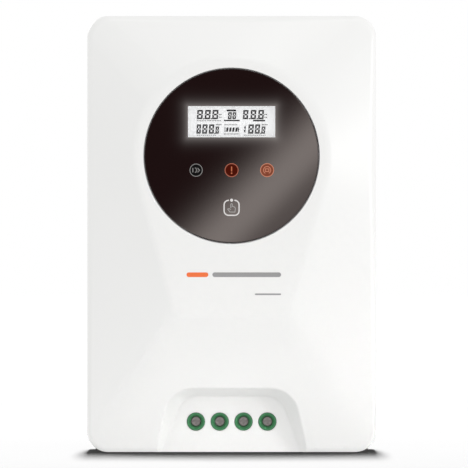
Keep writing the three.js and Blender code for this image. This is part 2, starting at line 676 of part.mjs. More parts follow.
function capacitor(x, z) {
  const { radius, front, back, crimp } = CAPACITOR;
  const profile = [
    [0, front], [radius - 1, front], [radius, front + 1], [radius, back - 5],
    [radius - crimp, back - 4], [radius, back - 3], [radius, back], [0, back],
  ];
  return turned(profile, x, z, 20);
}

// A power transistor against the heatsink, with three legs that turn down onto the board.
function mosfet(x) {
  const { halfWidth, front, back, bottom, top } = MOSFET;
  const legs = [-LEG.pitch, 0, LEG.pitch].flatMap((dx) => {
    const [left, right] = [x + dx - LEG.half, x + dx + LEG.half];
    return [
      box(left, right, LEG.front, LEG.back, LEG.foot, bottom + 1),
      box(left, right, Y.boardBack + 0.1, LEG.back, LEG.foot, LEG.foot + LEG.half),
    ];
  });
  return join(box(x - halfWidth, x + halfWidth, front, back, bottom, top), ...legs);
}

function thermalPad() {
  return box(-PAD.halfWidth, PAD.halfWidth, PAD.front, PAD.back, PAD.bottom, PAD.top);
}

function clampBar() {
  const { halfWidth, front, back, bottom, top } = CLAMP_BAR;
  const holes = CLAMP_SCREW_X.map((x) => rod(M3.hole, front - 1, back + 1, x, (bottom + top) / 2, 10));
  return cut(box(-halfWidth, halfWidth, front, back, bottom, top), ...holes);
}

function mainHeader() {
  const { halfWidth, front, bottom, top, wall, floor } = HEADER;
  const back = Y.boardFront - 0.1;
  return cut(
    box(-halfWidth, halfWidth, front, back, bottom, top),
    box(wall - halfWidth, halfWidth - wall, front - 1, back - floor, bottom + wall, top - wall),
  );
}

// The flat cable from the display board to the power board, folded once between them.
function ribbonCable() {
  const { halfWidth, halfThick, steps: count, route } = RIBBON;
  const line = new THREE.CatmullRomCurve3(route.map(([y, z]) => new THREE.Vector3(0, y, z)));
  const sides = [1, -1].map((side) =>
    Array.from({ length: count + 1 }, (_, i) => {
      const p = line.getPointAt(i / count);
      const t = line.getTangentAt(i / count);
      return [p.y - side * halfThick * t.z, p.z + side * halfThick * t.y];
    }),
  );
  return slabX(polygon([...sides[0], ...sides[1].reverse()]), -halfWidth, halfWidth);
}

// ---------------------------------------------------------------- terminal block

function terminalHousing(x) {
  const half = POLE.pitch / 2 - 0.1;
  const { wireY, z, front, back, bottom, top } = POLE;
  const block = box(x - half, x + half, front, back, bottom, top);
  const collar = rod(COLLAR.radius, COLLAR.front, front + 1, x, z, 22);
  const room = CAGE_ROOM;
  const barHalf = TAB.halfWidth + TAB.clearance;
  const barFront = TAB.front - TAB.clearance;
  const barTop = TAB.top + TAB.clearance;
  const barBottom = TAB.top - TAB.thick - 0.6;
  return cut(
    join(block, collar),
    rod(WELL.radius, AHEAD, WELL.back, x, z, 18),
    rod(WELL.mouth, COLLAR.front - 0.1, COLLAR.front + WELL.mouthDepth, x, z, 18, WELL.radius),
    rod(WELL.throat, WELL.back - 1, WELL.throatBack, x, z, 12),
    box(x - room.halfWidth, x + room.halfWidth, room.front, room.back, room.bottom, room.top),
    box(x - WIRE.half, x + WIRE.half, wireY - WIRE.depth, wireY + WIRE.depth, bottom - 1, WIRE.top),
    box(x - barHalf, x + barHalf, barFront, TAB.back + 0.5, room.top - 0.5, barTop),
    box(x - barHalf, x + barHalf, barFront, back + 1, barBottom, barTop),
  );
}

function terminalScrew(x) {
  const { z } = POLE;
  const { half, deep, reach, arm } = SCREW_SLOT;
  const mouth = [SCREW.headFront - 1, SCREW.headFront + deep];
  return cut(
    join(
      rod(SCREW.head, SCREW.headFront, SCREW.headBack, x, z, 18),
      rod(SCREW.shank, SCREW.headBack - 0.2, SCREW.tip, x, z, 14),
    ),
    box(x - reach, x + reach, ...mouth, z - half, z + half),
    box(x - half, x + half, ...mouth, z - arm, z + arm),
  );
}

function clampCage(x) {
  const { halfWidth, front, back, bottom, top } = CAGE;
  const inside = halfWidth - CAGE_WALL.side;
  return cut(
    box(x - halfWidth, x + halfWidth, front, back, bottom, top),
    box(x - inside, x + inside, front + CAGE_WALL.front, back - CAGE_WALL.back, bottom - 1, top + 1),
    rod(SCREW.shank + GAP, front - 1, front + CAGE_WALL.front + 0.4, x, POLE.z, 14),
  );
}

function terminalTab(x) {
  const { halfWidth, front, back, bottom, top, thick } = TAB;
  return join(
    box(x - halfWidth, x + halfWidth, front, back, bottom, top),
    box(x - halfWidth, x + halfWidth, front, POLE.back, top - thick, top),
  );
}

// ---------------------------------------------------------------- assembly

const controller = new THREE.Group();

function place(name, solid, material) {
  const mesh = new THREE.Mesh(toGeometry(solid), material.clone());
  mesh.name = name;
  controller.add(mesh);
}

place("front_shell", frontShell(), MATERIAL.shell);
place("shell_gasket", shellGasket(), MATERIAL.rubber);
place("rear_heatsink", rearHeatsink(), MATERIAL.sink);
place("upper_hanger", upperHanger(), MATERIAL.steel);
place("lower_hanger", lowerHanger(), MATERIAL.steel);
COVER_SCREWS.forEach(([x, z], i) => {
  place(`cover_screw_${i + 1}`, panScrew(x, z, Y.sinkBack + 0.1, 1, M4), MATERIAL.plated);
});
HANGER_SCREWS.forEach(([x, z], i) => {
  const seat = Y.postBack + HANGER.sheet + 0.2;
  place(`hanger_screw_${i + 1}`, panScrew(x, z, seat, 1, M4_SHORT), MATERIAL.plated);
});

place("display_lens", displayLens(), MATERIAL.glass);
place("lens_gasket", lensGasket(), MATERIAL.foam);
place("lcd_panel", lcdPanel(), MATERIAL.lcd);
place("lcd_backlight", lcdBacklight(), MATERIAL.frame);
place("display_board", displayBoard(), MATERIAL.board);
place("touch_spring", touchSpring(), MATERIAL.plated);
place("light_guide", lightGuide(), MATERIAL.guide);
DISPLAY_SCREWS.forEach(([x, z], i) => {
  place(`display_screw_${i + 1}`, panScrew(x, z, Y.displayBack + 0.2, 1, M2), MATERIAL.plated);
});

place("main_board", mainBoard(), MATERIAL.board);
BOARD_SCREWS.forEach(([x, z], i) => {
  place(`board_screw_${i + 1}`, panScrew(x, z, Y.boardFront - 0.1, -1, M3), MATERIAL.plated);
  place(`board_spacer_${i + 1}`, boardSpacer(x, z), MATERIAL.copper);
});
place("main_header", mainHeader(), MATERIAL.frame);
place("ribbon_cable", ribbonCable(), MATERIAL.ribbon);
place("comm_socket", commSocket(), MATERIAL.epoxy);
place("inductor_core", inductorCore(), MATERIAL.ferrite);
place("inductor_coil", inductorCoil(), MATERIAL.copper);
CAPACITORS.forEach(([x, z], i) => {
  place(`capacitor_${i + 1}`, capacitor(x, z), MATERIAL.sleeve);
});
[-MOSFET.pitch, 0, MOSFET.pitch].forEach((x, i) => {
  place(`mosfet_${i + 1}`, mosfet(x), MATERIAL.epoxy);
});
place("thermal_pad", thermalPad(), MATERIAL.ribbon);
place("clamp_bar", clampBar(), MATERIAL.steel);

POLE_X.forEach((x, i) => {
  place(`terminal_housing_${i + 1}`, terminalHousing(x), MATERIAL.terminal);
  place(`terminal_screw_${i + 1}`, terminalScrew(x), MATERIAL.plated);
  place(`clamp_cage_${i + 1}`, clampCage(x), MATERIAL.plated);
  place(`terminal_tab_${i + 1}`, terminalTab(x), MATERIAL.copper);
});

export default controller;
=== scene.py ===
# The looks of a wall-mounted solar charge controller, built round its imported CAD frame.
# Shapes are drawn in millimetres and turned into metres when a piece is finished.
import math

import bmesh
import bpy
from mathutils import Matrix, Vector

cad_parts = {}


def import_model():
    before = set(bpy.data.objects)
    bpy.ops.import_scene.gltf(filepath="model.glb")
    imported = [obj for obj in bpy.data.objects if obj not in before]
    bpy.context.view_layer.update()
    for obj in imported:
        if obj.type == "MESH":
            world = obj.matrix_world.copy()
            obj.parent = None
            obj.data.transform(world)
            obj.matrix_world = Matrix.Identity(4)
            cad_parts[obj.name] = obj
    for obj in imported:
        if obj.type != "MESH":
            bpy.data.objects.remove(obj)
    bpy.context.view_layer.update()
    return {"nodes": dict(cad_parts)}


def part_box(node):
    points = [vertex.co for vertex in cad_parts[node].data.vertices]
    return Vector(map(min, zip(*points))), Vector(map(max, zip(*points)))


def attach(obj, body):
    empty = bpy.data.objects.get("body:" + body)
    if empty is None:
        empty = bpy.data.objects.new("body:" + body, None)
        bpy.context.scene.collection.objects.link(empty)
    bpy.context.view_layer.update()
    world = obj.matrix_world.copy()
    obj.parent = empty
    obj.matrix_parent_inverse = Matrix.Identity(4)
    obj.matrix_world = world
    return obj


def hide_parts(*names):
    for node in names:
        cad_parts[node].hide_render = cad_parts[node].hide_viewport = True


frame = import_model()

MM = 0.001
QUARTER = math.pi / 2


def box_mm(node):
    low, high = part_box(node)
    return low / MM, high / MM


def middle(node):
    """The x, y and z of the middle of a node's box."""
    return [(low + high) / 2 for low, high in zip(*box_mm(node))]


# ---------------------------------------- dimensions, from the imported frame

SHELL_LOW, SHELL_HIGH = box_mm("front_shell")
HALF_WIDTH = SHELL_HIGH.x
HEIGHT = SHELL_HIGH.z
PLATEAU_Y = SHELL_LOW.y
RIM_Y = SHELL_HIGH.y
LENS_LOW, LENS_HIGH = box_mm("display_lens")
LENS_RADIUS = LENS_HIGH.x
LENS_Z = middle("display_lens")[2]
LCD_FRONT = box_mm("lcd_panel")[0].y
POLES = range(1, 5)
POLE_X = [middle(f"terminal_screw_{i}")[0] for i in POLES]
POLE_Z = middle("terminal_screw_1")[2]

# The printed marks stand a little proud of the window's glass. The lamp discs lie just behind their rings.
MARK_THICK = 0.05
LENS_FRONT = LENS_LOW.y + MARK_THICK
PRINT_Y = LENS_LOW.y + 0.005
LAMP_DISC_Y = PRINT_Y + 0.015

# The cover's form: the raised plateau, the slopes and the terminal recess. The plateau's round edge between
# FAN_UPPER and FAN_LOWER slopes down to the body's upper corner. The place where that edge turns straight
# slopes down to SIDE_BREAK_Z on the body's side.
WALL = 2.6
BODY_CORNER = 14.5
EDGE_Y = -27.6
EDGE_FILLET = 5
PLATEAU = dict(radius=66.8, z=LENS_Z, bottom=94.2, taper=math.radians(15.5), corner=9, blend=2.4)
FAN_UPPER = math.radians(54)
FAN_LOWER = math.radians(32)
SIDE_BREAK_Z = 172
RECESS_FLOOR_Y = -21
RECESS_RIM = dict(half=52.4, top=44.5, taper=math.radians(12.4), corner=19.5)
RECESS_FLOOR = dict(half=48.2, top=39, taper=math.radians(21), corner=15.5)

# What the window shows: the display's clear pane as left, right, bottom and top, the lamps and the touch key.
LCD_WINDOW = (-30.0, 30.0, 217.5, 238.95)
LAMP_PITCH = 24.4
LAMP_Z = 194.9
TOUCH_Z = 169.0


# ---------------------------------------- solids

def add_object(name, data):
    obj = bpy.data.objects.new(name, data)
    bpy.context.scene.collection.objects.link(obj)
    return obj


def from_bmesh(work):
    data = bpy.data.meshes.new("solid")
    work.to_mesh(data)
    work.free()
    return add_object("solid", data)


def closed_mesh(vertices, faces):
    data = bpy.data.meshes.new("solid")
    data.from_pydata([tuple(v) for v in vertices], [], faces)
    work = bmesh.new()
    work.from_mesh(data)
    bpy.data.meshes.remove(data)
    bmesh.ops.recalc_face_normals(work, faces=work.faces)
    return from_bmesh(work)


def loft(rings, closed=False):
    """Skins a stack of rings of equal length, and closes both ends unless the stack joins up with itself."""
    count = len(rings[0])
    rows = len(rings)
    faces = []
    for r in range(rows if closed else rows - 1):
        for i in range(count):
            a, b = r * count + i, r * count + (i + 1) % count
            c, d = ((r + 1) % rows) * count + (i + 1) % count, ((r + 1) % rows) * count + i
            faces.append((a, b, c, d))
    if not closed:
        faces.append(tuple(range(count)))
        faces.append(tuple(range((rows - 1) * count, rows * count)))
    return closed_mesh([p for row in rings for p in row], faces)


def round_turns(sides):
    return [2 * math.pi * i / sides for i in range(sides)]


def turned(profile, x, z, sides):
    """A body of revolution about a line along Y, from pairs of radius and y."""
    turns = round_turns(sides)
    return loft([[(x + r * math.cos(a), y, z + r * math.sin(a)) for a in turns] for r, y in profile])


def rod(radius, y0, y1, x, z, sides):
    return turned([(radius, y0), (radius, y1)], x, z, sides)


def upright_rod(radius, z0, z1, x, y, sides):
    turns = round_turns(sides)
    return loft([[(x + radius * math.cos(a), y + radius * math.sin(a), z) for a in turns] for z in (z0, z1)])


def block(x0, x1, y0, y1, z0, z1):
    corners = [(x0, z0), (x1, z0), (x1, z1), (x0, z1)]
    return loft([[(x, y, z) for x, z in corners] for y in (y0, y1)])


def remove(obj):
    data = obj.data
    bpy.data.objects.remove(obj)
    bpy.data.meshes.remove(data)


def apply_modifiers(obj):
    graph = bpy.context.evaluated_depsgraph_get()
    done = bpy.data.meshes.new_from_object(obj.evaluated_get(graph))
    old = obj.data
    obj.modifiers.clear()
    obj.data = done
    bpy.data.meshes.remove(old)


def merge(operation, solid, tools):
    for tool in tools:
        step = solid.modifiers.new("merge", "BOOLEAN")
        step.solver = "MANIFOLD"
        step.operation = operation
        step.object = tool
        apply_modifiers(solid)
        remove(tool)
    return solid


def cut(solid, *tools):
    return merge("DIFFERENCE", solid, tools)


def join(solid, *tools):
    return merge("UNION", solid, tools)


def gather(solids):
    """Several separate solids as the one mesh of one piece."""
    work = bmesh.new()
    for solid in solids:
        work.from_mesh(solid.data)
        remove(solid)
    return from_bmesh(work)


def bevel(obj, width):
    step = obj.modifiers.new("bevel", "BEVEL")
    step.width = width
    step.segments = 2
    step.limit_method = "ANGLE"
    step.angle_limit = math.radians(35)
    step.use_clamp_overlap = True


def finish(obj, name, material, body="enclosure", replaces=(), smooth=35, weighted=True):
    """Turns a solid drawn in millimetres into a named piece that rides on a body."""
    obj.name = obj.data.name = name
    obj.data.transform(Matrix.Scale(MM, 4))
    for step in obj.modifiers:
        if step.type == "BEVEL":
            step.width *= MM
    if obj.modifiers:
        apply_modifiers(obj)
    if not isinstance(material, list):
        obj.data.materials.clear()
        material = [material]
    for entry in material:
        obj.data.materials.append(entry)
    obj.data.shade_smooth()
    obj.data.set_sharp_from_angle(angle=math.radians(smooth))
    if weighted:
        step = obj.modifiers.new("normals", "WEIGHTED_NORMAL")
        step.keep_sharp = True
    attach(obj, body)
    if replaces:
        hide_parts(*replaces)


# ---------------------------------------- materials

def feed(tree, node, inputs):
    """Sets a node's inputs. Each is a value, or the output of another node."""
    for name, value in inputs.items():
        if isinstance(value, bpy.types.NodeSocket):
            tree.links.new(value, node.inputs[name])
        else:
            node.inputs[name].default_value = value


def add_node(tree, kind, inputs, **settings):
    node = tree.nodes.new("ShaderNode" + kind)
    for name, value in settings.items():
        setattr(node, name, value)
    feed(tree, node, inputs)
    return node


def object_place(tree):
    return tree.nodes.new("ShaderNodeTexCoord").outputs["Object"]


def new_material(name):
    material = bpy.data.materials.new(name)
    material.use_nodes = True
    return material, material.node_tree, material.node_tree.nodes["Principled BSDF"]


def shader(name, tone, second, rough, drift=30.0, grain=1800.0, bump=0.1, depth=0.00005,
           metallic=0.0, coat=0.0, glow=0.0):
    """A material whose colour drifts between two tones. Its roughness and relief follow a finer grain."""
    material, tree, bsdf = new_material(name)
    feed(tree, bsdf, {"Metallic": metallic, "Coat Weight": coat, "Coat Roughness": 0.08})
    place = object_place(tree)
    broad = add_node(tree, "TexNoise", {"Vector": place, "Scale": drift, "Detail": 4})
    fine = add_node(tree, "TexNoise", {"Vector": place, "Scale": grain, "Detail": 3})
    mix = add_node(tree, "Mix", {"A": (*tone, 1), "B": (*second, 1), "Factor": broad.outputs["Fac"]},
                   data_type="RGBA")
    spread = add_node(tree, "MapRange", {"Value": fine.outputs["Fac"], "From Min": 0.3, "From Max": 0.7,
                                         "To Min": rough[0], "To Max": rough[1]})
    relief = add_node(tree, "Bump", {"Height": fine.outputs["Fac"], "Strength": bump, "Distance": depth})
    feed(tree, bsdf, {"Base Color": mix.outputs["Result"], "Roughness": spread.outputs["Result"],
                      "Normal": relief.outputs["Normal"]})
    if glow:
        feed(tree, bsdf, {"Emission Color": mix.outputs["Result"], "Emission Strength": glow})
    return material


# Each material's two tones, then the range of its roughness.
SHELL_WHITE = shader("shell_white", (0.83, 0.83, 0.82), (0.80, 0.80, 0.79), (0.3, 0.42), drift=14, bump=0.06)
RUBBER = shader("rubber_black", (0.018, 0.018, 0.019), (0.03, 0.03, 0.03), (0.75, 0.95), bump=0.4)
NYLON = shader("nylon_white", (0.72, 0.72, 0.68), (0.66, 0.66, 0.62), (0.45, 0.6))
GUIDE = shader("guide_frosted", (0.72, 0.7, 0.66), (0.8, 0.78, 0.74), (0.25, 0.4))
GREEN = shader("terminal_green", (0.05, 0.22, 0.09), (0.06, 0.25, 0.105), (0.3, 0.45), drift=90)
PLATED = shader("plated_steel", (0.42, 0.385, 0.375), (0.33, 0.305, 0.295), (0.32, 0.48), drift=260,
                grain=900, metallic=1.0, bump=0.15)
HEAD_STEEL = shader("dull_steel", (0.36, 0.325, 0.32), (0.27, 0.245, 0.24), (0.4, 0.55), drift=300,
                    metallic=0.5)
BRASS = shader("turned_brass", (0.7, 0.52, 0.22), (0.58, 0.42, 0.17), (0.25, 0.4), drift=120, metallic=1.0)
COPPER = shader("copper_enamel", (0.62, 0.27, 0.12), (0.5, 0.2, 0.08), (0.25, 0.38), drift=150, metallic=1.0)
TINNED = shader("tinned_copper", (0.66, 0.6, 0.52), (0.56, 0.48, 0.4), (0.3, 0.45), drift=180, metallic=1.0)
CAST = shader("cast_aluminium", (0.5, 0.505, 0.51), (0.42, 0.425, 0.43), (0.42, 0.62), drift=35, grain=1300,
              metallic=1.0, bump=0.5, depth=0.00012)
ZINC = shader("zinc_steel", (0.6, 0.61, 0.63), (0.47, 0.48, 0.5), (0.28, 0.5), drift=110, grain=600,
              metallic=1.0, bump=0.12)
FERRITE = shader("ferrite_coating", (0.045, 0.05, 0.055), (0.065, 0.07, 0.075), (0.5, 0.75), bump=0.5)
EPOXY = shader("epoxy_black", (0.018, 0.018, 0.02), (0.028, 0.028, 0.03), (0.4, 0.6), bump=0.3)
SLEEVE = shader("capacitor_sleeve", (0.02, 0.03, 0.06), (0.028, 0.04, 0.075), (0.25, 0.38), coat=0.3)
CABLE = shader("cable_grey", (0.38, 0.4, 0.43), (0.32, 0.34, 0.37), (0.5, 0.65))
PAD = shader("thermal_sheet", (0.3, 0.36, 0.45), (0.26, 0.32, 0.4), (0.7, 0.85), bump=0.3)
LCD_GROUND = shader("lcd_ground", (0.86, 0.87, 0.88), (0.9, 0.905, 0.91), (0.4, 0.5), drift=25, bump=0.0,
                    glow=0.42)
SEGMENT = shader("lcd_segment", (0.012, 0.011, 0.013), (0.02, 0.019, 0.022), (0.5, 0.6))
FAINT = shader("lcd_faint_mark", (0.2, 0.2, 0.2), (0.26, 0.26, 0.26), (0.5, 0.6), glow=0.25)
ORANGE = shader("stripe_orange", (0.82, 0.14, 0.02), (0.86, 0.17, 0.03), (0.35, 0.5))
GREY = shader("stripe_grey", (0.26, 0.26, 0.26), (0.31, 0.31, 0.31), (0.35, 0.5))
# The inks carry a faint painted glow, which lightens the print under the black glass. The lamp discs below
# glow as lamps.
INK_PALE = shader("ink_pale", (0.6, 0.58, 0.57), (0.66, 0.64, 0.63), (0.4, 0.55), glow=0.12)
INK_DIM = shader("ink_dim", (0.2, 0.195, 0.19), (0.24, 0.23, 0.225), (0.4, 0.55), glow=0.04)
INK_HAND = shader("ink_hand", (0.34, 0.33, 0.32), (0.38, 0.37, 0.36), (0.4, 0.55), glow=0.06)
INK_RED = shader("ink_red_ring", (0.36, 0.11, 0.07), (0.4, 0.13, 0.085), (0.4, 0.55), glow=0.12)
INK_RING = shader("ink_orange_ring", (0.48, 0.19, 0.12), (0.52, 0.21, 0.135), (0.4, 0.55), glow=0.15)
INK_ORANGE = shader("ink_orange_mark", (0.4, 0.12, 0.06), (0.44, 0.14, 0.07), (0.4, 0.55), glow=0.15)
LAMP_DARK = shader("lamp_unlit", (0.004, 0.004, 0.004), (0.008, 0.008, 0.008), (0.4, 0.5))
LAMP_RED = shader("lamp_red", (0.055, 0.005, 0.002), (0.065, 0.007, 0.003), (0.4, 0.5), glow=0.1)
LAMP_BROWN = shader("lamp_brown", (0.17, 0.045, 0.024), (0.2, 0.055, 0.03), (0.4, 0.5), glow=0.1)

# The marks stand for print under the polish, so they have no gloss.
for mark in (INK_PALE, INK_DIM, INK_HAND, INK_RED, INK_RING, INK_ORANGE, LAMP_DARK, LAMP_RED, LAMP_BROWN):
    mark.node_tree.nodes["Principled BSDF"].inputs["Specular IOR Level"].default_value = 0


def circuit_board():
    """Solder mask over copper tracks: a fine grid of lighter lines under green lacquer."""
    green = (0.01, 0.1, 0.035)
    material = shader("circuit_board", green, (0.014, 0.13, 0.05), (0.25, 0.4), drift=60, coat=0.2)
    tree = material.node_tree
    mix = next(n for n in tree.nodes if n.type == "MIX")
    turn = add_node(tree, "Mapping", {"Vector": object_place(tree), "Rotation": (QUARTER, 0, 0)})
    bricks = add_node(tree, "TexBrick", {
        "Vector": turn.outputs["Vector"], "Scale": 60, "Mortar Size": 0.012, "Color1": (*green, 1),
        "Color2": (0.012, 0.115, 0.042, 1), "Mortar": (0.03, 0.22, 0.09, 1)})
    feed(tree, mix, {"A": bricks.outputs["Color"]})
    return material


# The painted glow round the display in the black glass, which stands for the display's light: its colour, and
# how far it takes to fade.
HALO_COLOUR = (0.16, 0.15, 0.145, 1)
HALO_REACH = 2.6


def lens_black():
    """Polished black glass, with a faint painted glow round the clear pane that stands for the light of the
    display behind it.
    """
    material = shader("lens_black", (0.0125, 0.0055, 0.0055), (0.0115, 0.0052, 0.0052), (0.02, 0.03),
                      drift=20, bump=0.02)
    tree = material.node_tree
    split = add_node(tree, "SeparateXYZ", {"Vector": object_place(tree)})

    def math_node(operation, *values):
        return add_node(tree, "Math", dict(enumerate(values)), operation=operation).outputs["Value"]

    def beyond(position, half):
        return math_node("MAXIMUM", math_node("SUBTRACT", math_node("ABSOLUTE", position), half), 0.0)

    _, right, bottom, top = (v * MM for v in LCD_WINDOW)
    out_x = beyond(split.outputs["X"], right)
    out_z = beyond(math_node("SUBTRACT", split.outputs["Z"], (bottom + top) / 2), (top - bottom) / 2)
    square = math_node("ADD", math_node("MULTIPLY", out_x, out_x), math_node("MULTIPLY", out_z, out_z))
    fade = math_node("EXPONENT", math_node("MULTIPLY", math_node("SQRT", square), -1 / (HALO_REACH * MM)))
    # The painted glow: emission that fades with distance from the clear pane.
    tint = add_node(tree, "Mix", {"A": (0, 0, 0, 1), "B": HALO_COLOUR, "Factor": fade}, data_type="RGBA")
    feed(tree, tree.nodes["Principled BSDF"],
         {"Emission Color": tint.outputs["Result"], "Emission Strength": 1})
    return material


def clear_glass():
    material = shader("lens_clear", (0.97, 0.97, 0.97), (0.98, 0.98, 0.98), (0.0, 0.01), bump=0.0)
    tree = material.node_tree
    feed(tree, tree.nodes["Principled BSDF"], {"Transmission Weight": 1, "IOR": 1.3})
    return material


# ---------------------------------------- cover

def quadratic(a, b, c, t):
    return a * (1 - t) ** 2 + b * (2 * t * (1 - t)) + c * t ** 2


def steps(count, start, end, make):
    return [make(start + (end - start) * i / count) for i in range(count)]


def on_arc(cx, cz, r):
    return lambda a: (cx + r * math.cos(a), cz + r * math.sin(a))


def between(a, b):
    return lambda t: (a[0] + (b[0] - a[0]) * t, a[1] + (b[1] - a[1]) * t)


def outlines(plateau_inset, body_inset, counts):
    """The plateau's edge and the body's edge, point for point, clockwise from the top middle.

    The counts are the steps along the six stretches of the right half.
    """
    r = PLATEAU["radius"] - plateau_inset
    rc = PLATEAU["corner"] - plateau_inset
    taper = PLATEAU["taper"]
    bottom = PLATEAU["bottom"] + plateau_inset
    cx = (r - rc + (bottom + rc - PLATEAU["z"]) * math.sin(taper)) / math.cos(taper)
    circle = on_arc(0, PLATEAU["z"], r)
    corner = on_arc(cx, bottom + rc, rc)
    br = BODY_CORNER - body_inset
    right, top = HALF_WIDTH - body_inset, HEIGHT - body_inset
    upper = on_arc(right - br, top - br, br)
    lower = on_arc(right - br, body_inset + br, br)
    n = counts
    inner = (
        steps(n[0], QUARTER, FAN_UPPER, circle)
        + steps(n[1], FAN_UPPER, FAN_LOWER, circle)
        + steps(n[2], FAN_LOWER, -taper, circle)
        + steps(n[3], 0, 1, between(circle(-taper), corner(-taper)))
        + steps(n[4], -taper, -QUARTER, corner)
        + steps(n[5], 0, 1, between(corner(-QUARTER), (0, bottom)))
        + [(0, bottom)]
    )
    outer = (
        steps(n[0], 0, 1, between((0, top), (right - br, top)))
        + steps(n[1], QUARTER, 0, upper)
        + steps(n[2], 0, 1, between((right, top - br), (right, SIDE_BREAK_Z)))
        + steps(n[3], 0, 1, between((right, SIDE_BREAK_Z), (right, body_inset + br)))
        + steps(n[4], 0, -QUARTER, lower)
        + steps(n[5], 0, 1, between((right - br, body_inset), (0, body_inset)))
        + [(0, body_inset)]
    )
    return [half + [(-x, z) for x, z in reversed(half[1:-1])] for half in (inner, outer)]


# A narrow band on each side of a rounding, which holds its shading.
SUPPORT = 0.7


def sculpted(plateau_inset, body_inset, plateau_y, edge_y, back_y, counts, blend_steps=1, fillet_steps=1):
    """The cover's form as one solid that runs straight back from its edge. Inset, it is the space inside."""
    inner, outer = outlines(plateau_inset, body_inset, counts)
    start = outlines(plateau_inset + PLATEAU["blend"], body_inset, counts)[0]
    each = range(len(inner))
    a = [Vector((x, plateau_y, z)) for x, z in inner]
    b = [Vector((x, edge_y, z)) for x, z in outer]
    s = [Vector((x, plateau_y, z)) for x, z in start]
    down = Vector((0, EDGE_FILLET, 0))
    span = [math.hypot(b[i].x - a[i].x, b[i].z - a[i].z) for i in each]
    shown = blend_steps > 1

    def on_slope(i, distance):
        return a[i].lerp(b[i], distance / span[i])

    rings = []
    if shown:
        rings.append([s[i].lerp(Vector((0, plateau_y, s[i].z)), 0.02) for i in each])
    for k in range(blend_steps + 1):
        t = k / blend_steps
        rings.append([quadratic(s[i], a[i], on_slope(i, PLATEAU["blend"]), t) for i in each])
    if shown:
        rings.append([on_slope(i, PLATEAU["blend"] + SUPPORT) for i in each])
        rings.append([on_slope(i, span[i] - EDGE_FILLET - SUPPORT) for i in each])
    for k in range(fillet_steps + 1):
        t = k / fillet_steps
        rings.append([quadratic(on_slope(i, span[i] - EDGE_FILLET), b[i], b[i] + down, t) for i in each])
    if shown:
        rings.append([b[i] + down + Vector((0, SUPPORT, 0)) for i in each])
    rings.append([Vector((b[i].x, back_y, b[i].z)) for i in each])
    return loft(rings)


# How fast the lower slope falls back towards the bottom edge.
LOWER_SLANT = (EDGE_Y - PLATEAU_Y) / PLATEAU["bottom"]

# Cutting solids start here, in front of the whole cover.
FRONT_OF_ALL = -80


def slope_y(z):
    return PLATEAU_Y + LOWER_SLANT * (PLATEAU["bottom"] - z)


def arch(form, grow, count):
    """An arch from its right foot to its left, with leaning sides, round shoulders and a level top."""
    below = -12
    tan = math.tan(form["taper"])
    lean = QUARTER - form["taper"]
    side = form["half"] + grow / math.cos(form["taper"])
    z = form["top"] + grow
    r = form["corner"] + grow
    cx = side - z * tan - r * math.tan(lean / 2)
    turn = [form["taper"] + lean * i / count for i in range(count + 1)]
    right = [(cx + r * math.cos(a), z - r + r * math.sin(a)) for a in turn]
    foot = (side - below * tan, below)
    legs = steps(6, 0, 1, between(foot, right[0]))
    top = steps(4, 0, 1, between(right[-1], (0, z)))[1:]
    half = legs + right + top
    return half + [(0, z)] + [(-x, z) for x, z in reversed(half)]


def to_front(row):
    return [Vector((p.x, FRONT_OF_ALL, p.z)) for p in row]


def recess(grow):
    """The space behind the terminal recess, as a cutting solid: the recess grown by the cover's wall."""
    rim = [Vector((x, slope_y(z) + grow, z)) for x, z in arch(RECESS_RIM, grow, 6)]
    floor = [Vector((x, RECESS_FLOOR_Y + grow, z)) for x, z in arch(RECESS_FLOOR, grow, 6)]
    outside = [f.lerp(r, 1.35) for f, r in zip(floor, rim)]
    return loft([to_front(outside), outside, floor])


def soft_recess(soft):
    """The terminal recess as a cutting solid, whose rim and floor edge are rounded by a soft radius."""
    rim = [Vector((x, slope_y(z), z)) for x, z in arch(RECESS_RIM, 0, 14)]
    floor = [Vector((x, RECESS_FLOOR_Y, z)) for x, z in arch(RECESS_FLOOR, 0, 14)]
    last = len(rim) - 1
    lift = Vector((0, -0.02, 0))
    rim_rows, floor_rows = [], []
    for i, (r, f) in enumerate(zip(rim, floor)):
        before, after = rim[max(i - 1, 0)], rim[min(i + 1, last)]
        along = Vector((after.x - before.x, 0, after.z - before.z)).normalized()
        out = Vector((along.z, 0, -along.x))
        over = Vector((out.x, -LOWER_SLANT * out.z, out.z)).normalized()
        up = (r - f).normalized()
        rim_rows.append([quadratic(r + over * soft, r, r - up * soft, k / 6) + lift for k in range(7)])
        floor_rows.append([quadratic(f + up * soft, f, f - out * soft, k / 6) for k in range(7)])
    rings = [list(row) for rows in (rim_rows, floor_rows) for row in zip(*rows)]
    return loft([to_front(rings[0])] + rings)


# Places of the fixings, as x and z.
COVER_SCREWS = [(x, z) for x in (-88, 88) for z in (16, 286)]
DISPLAY_SCREWS = [(-41, 165), (41, 165)]
DISPLAY_PINS = [(-41, 244), (41, 244)]
SOCKET_LOW, SOCKET_HIGH = box_mm("comm_socket")
WIRE_ENTRY_Y = 4.7

# Steps along the six stretches of the cover's outline: few for the space inside, many for what is seen.
CAVITY_COUNTS = (5, 5, 7, 2, 5, 1)
SHOWN_COUNTS = (18, 20, 26, 18, 16, 6)


def cover_space():
    """The space inside the cover, round the screw bosses and the display board's posts and pins."""
    front_wall, edge_wall = 4.4, 3.2
    space = sculpted(1.5, WALL, PLATEAU_Y + front_wall, EDGE_Y + edge_wall, RIM_Y + 1, CAVITY_COUNTS)
    root = PLATEAU_Y + front_wall - 1
    boss_radius, boss_front = 4.5, -35
    post_radius, post_back = 3.5, -34.1
    pin_radius, pin_back = 1.4, -31
    bosses = [rod(boss_radius, boss_front, RIM_Y - 0.2, x, z, 32) for x, z in COVER_SCREWS]
    posts = [rod(post_radius, root, post_back, x, z, 24) for x, z in DISPLAY_SCREWS]
    pins = [rod(pin_radius, root, pin_back, x, z, 16) for x, z in DISPLAY_PINS]
    return cut(space, recess(WALL), *bosses, *posts, *pins)


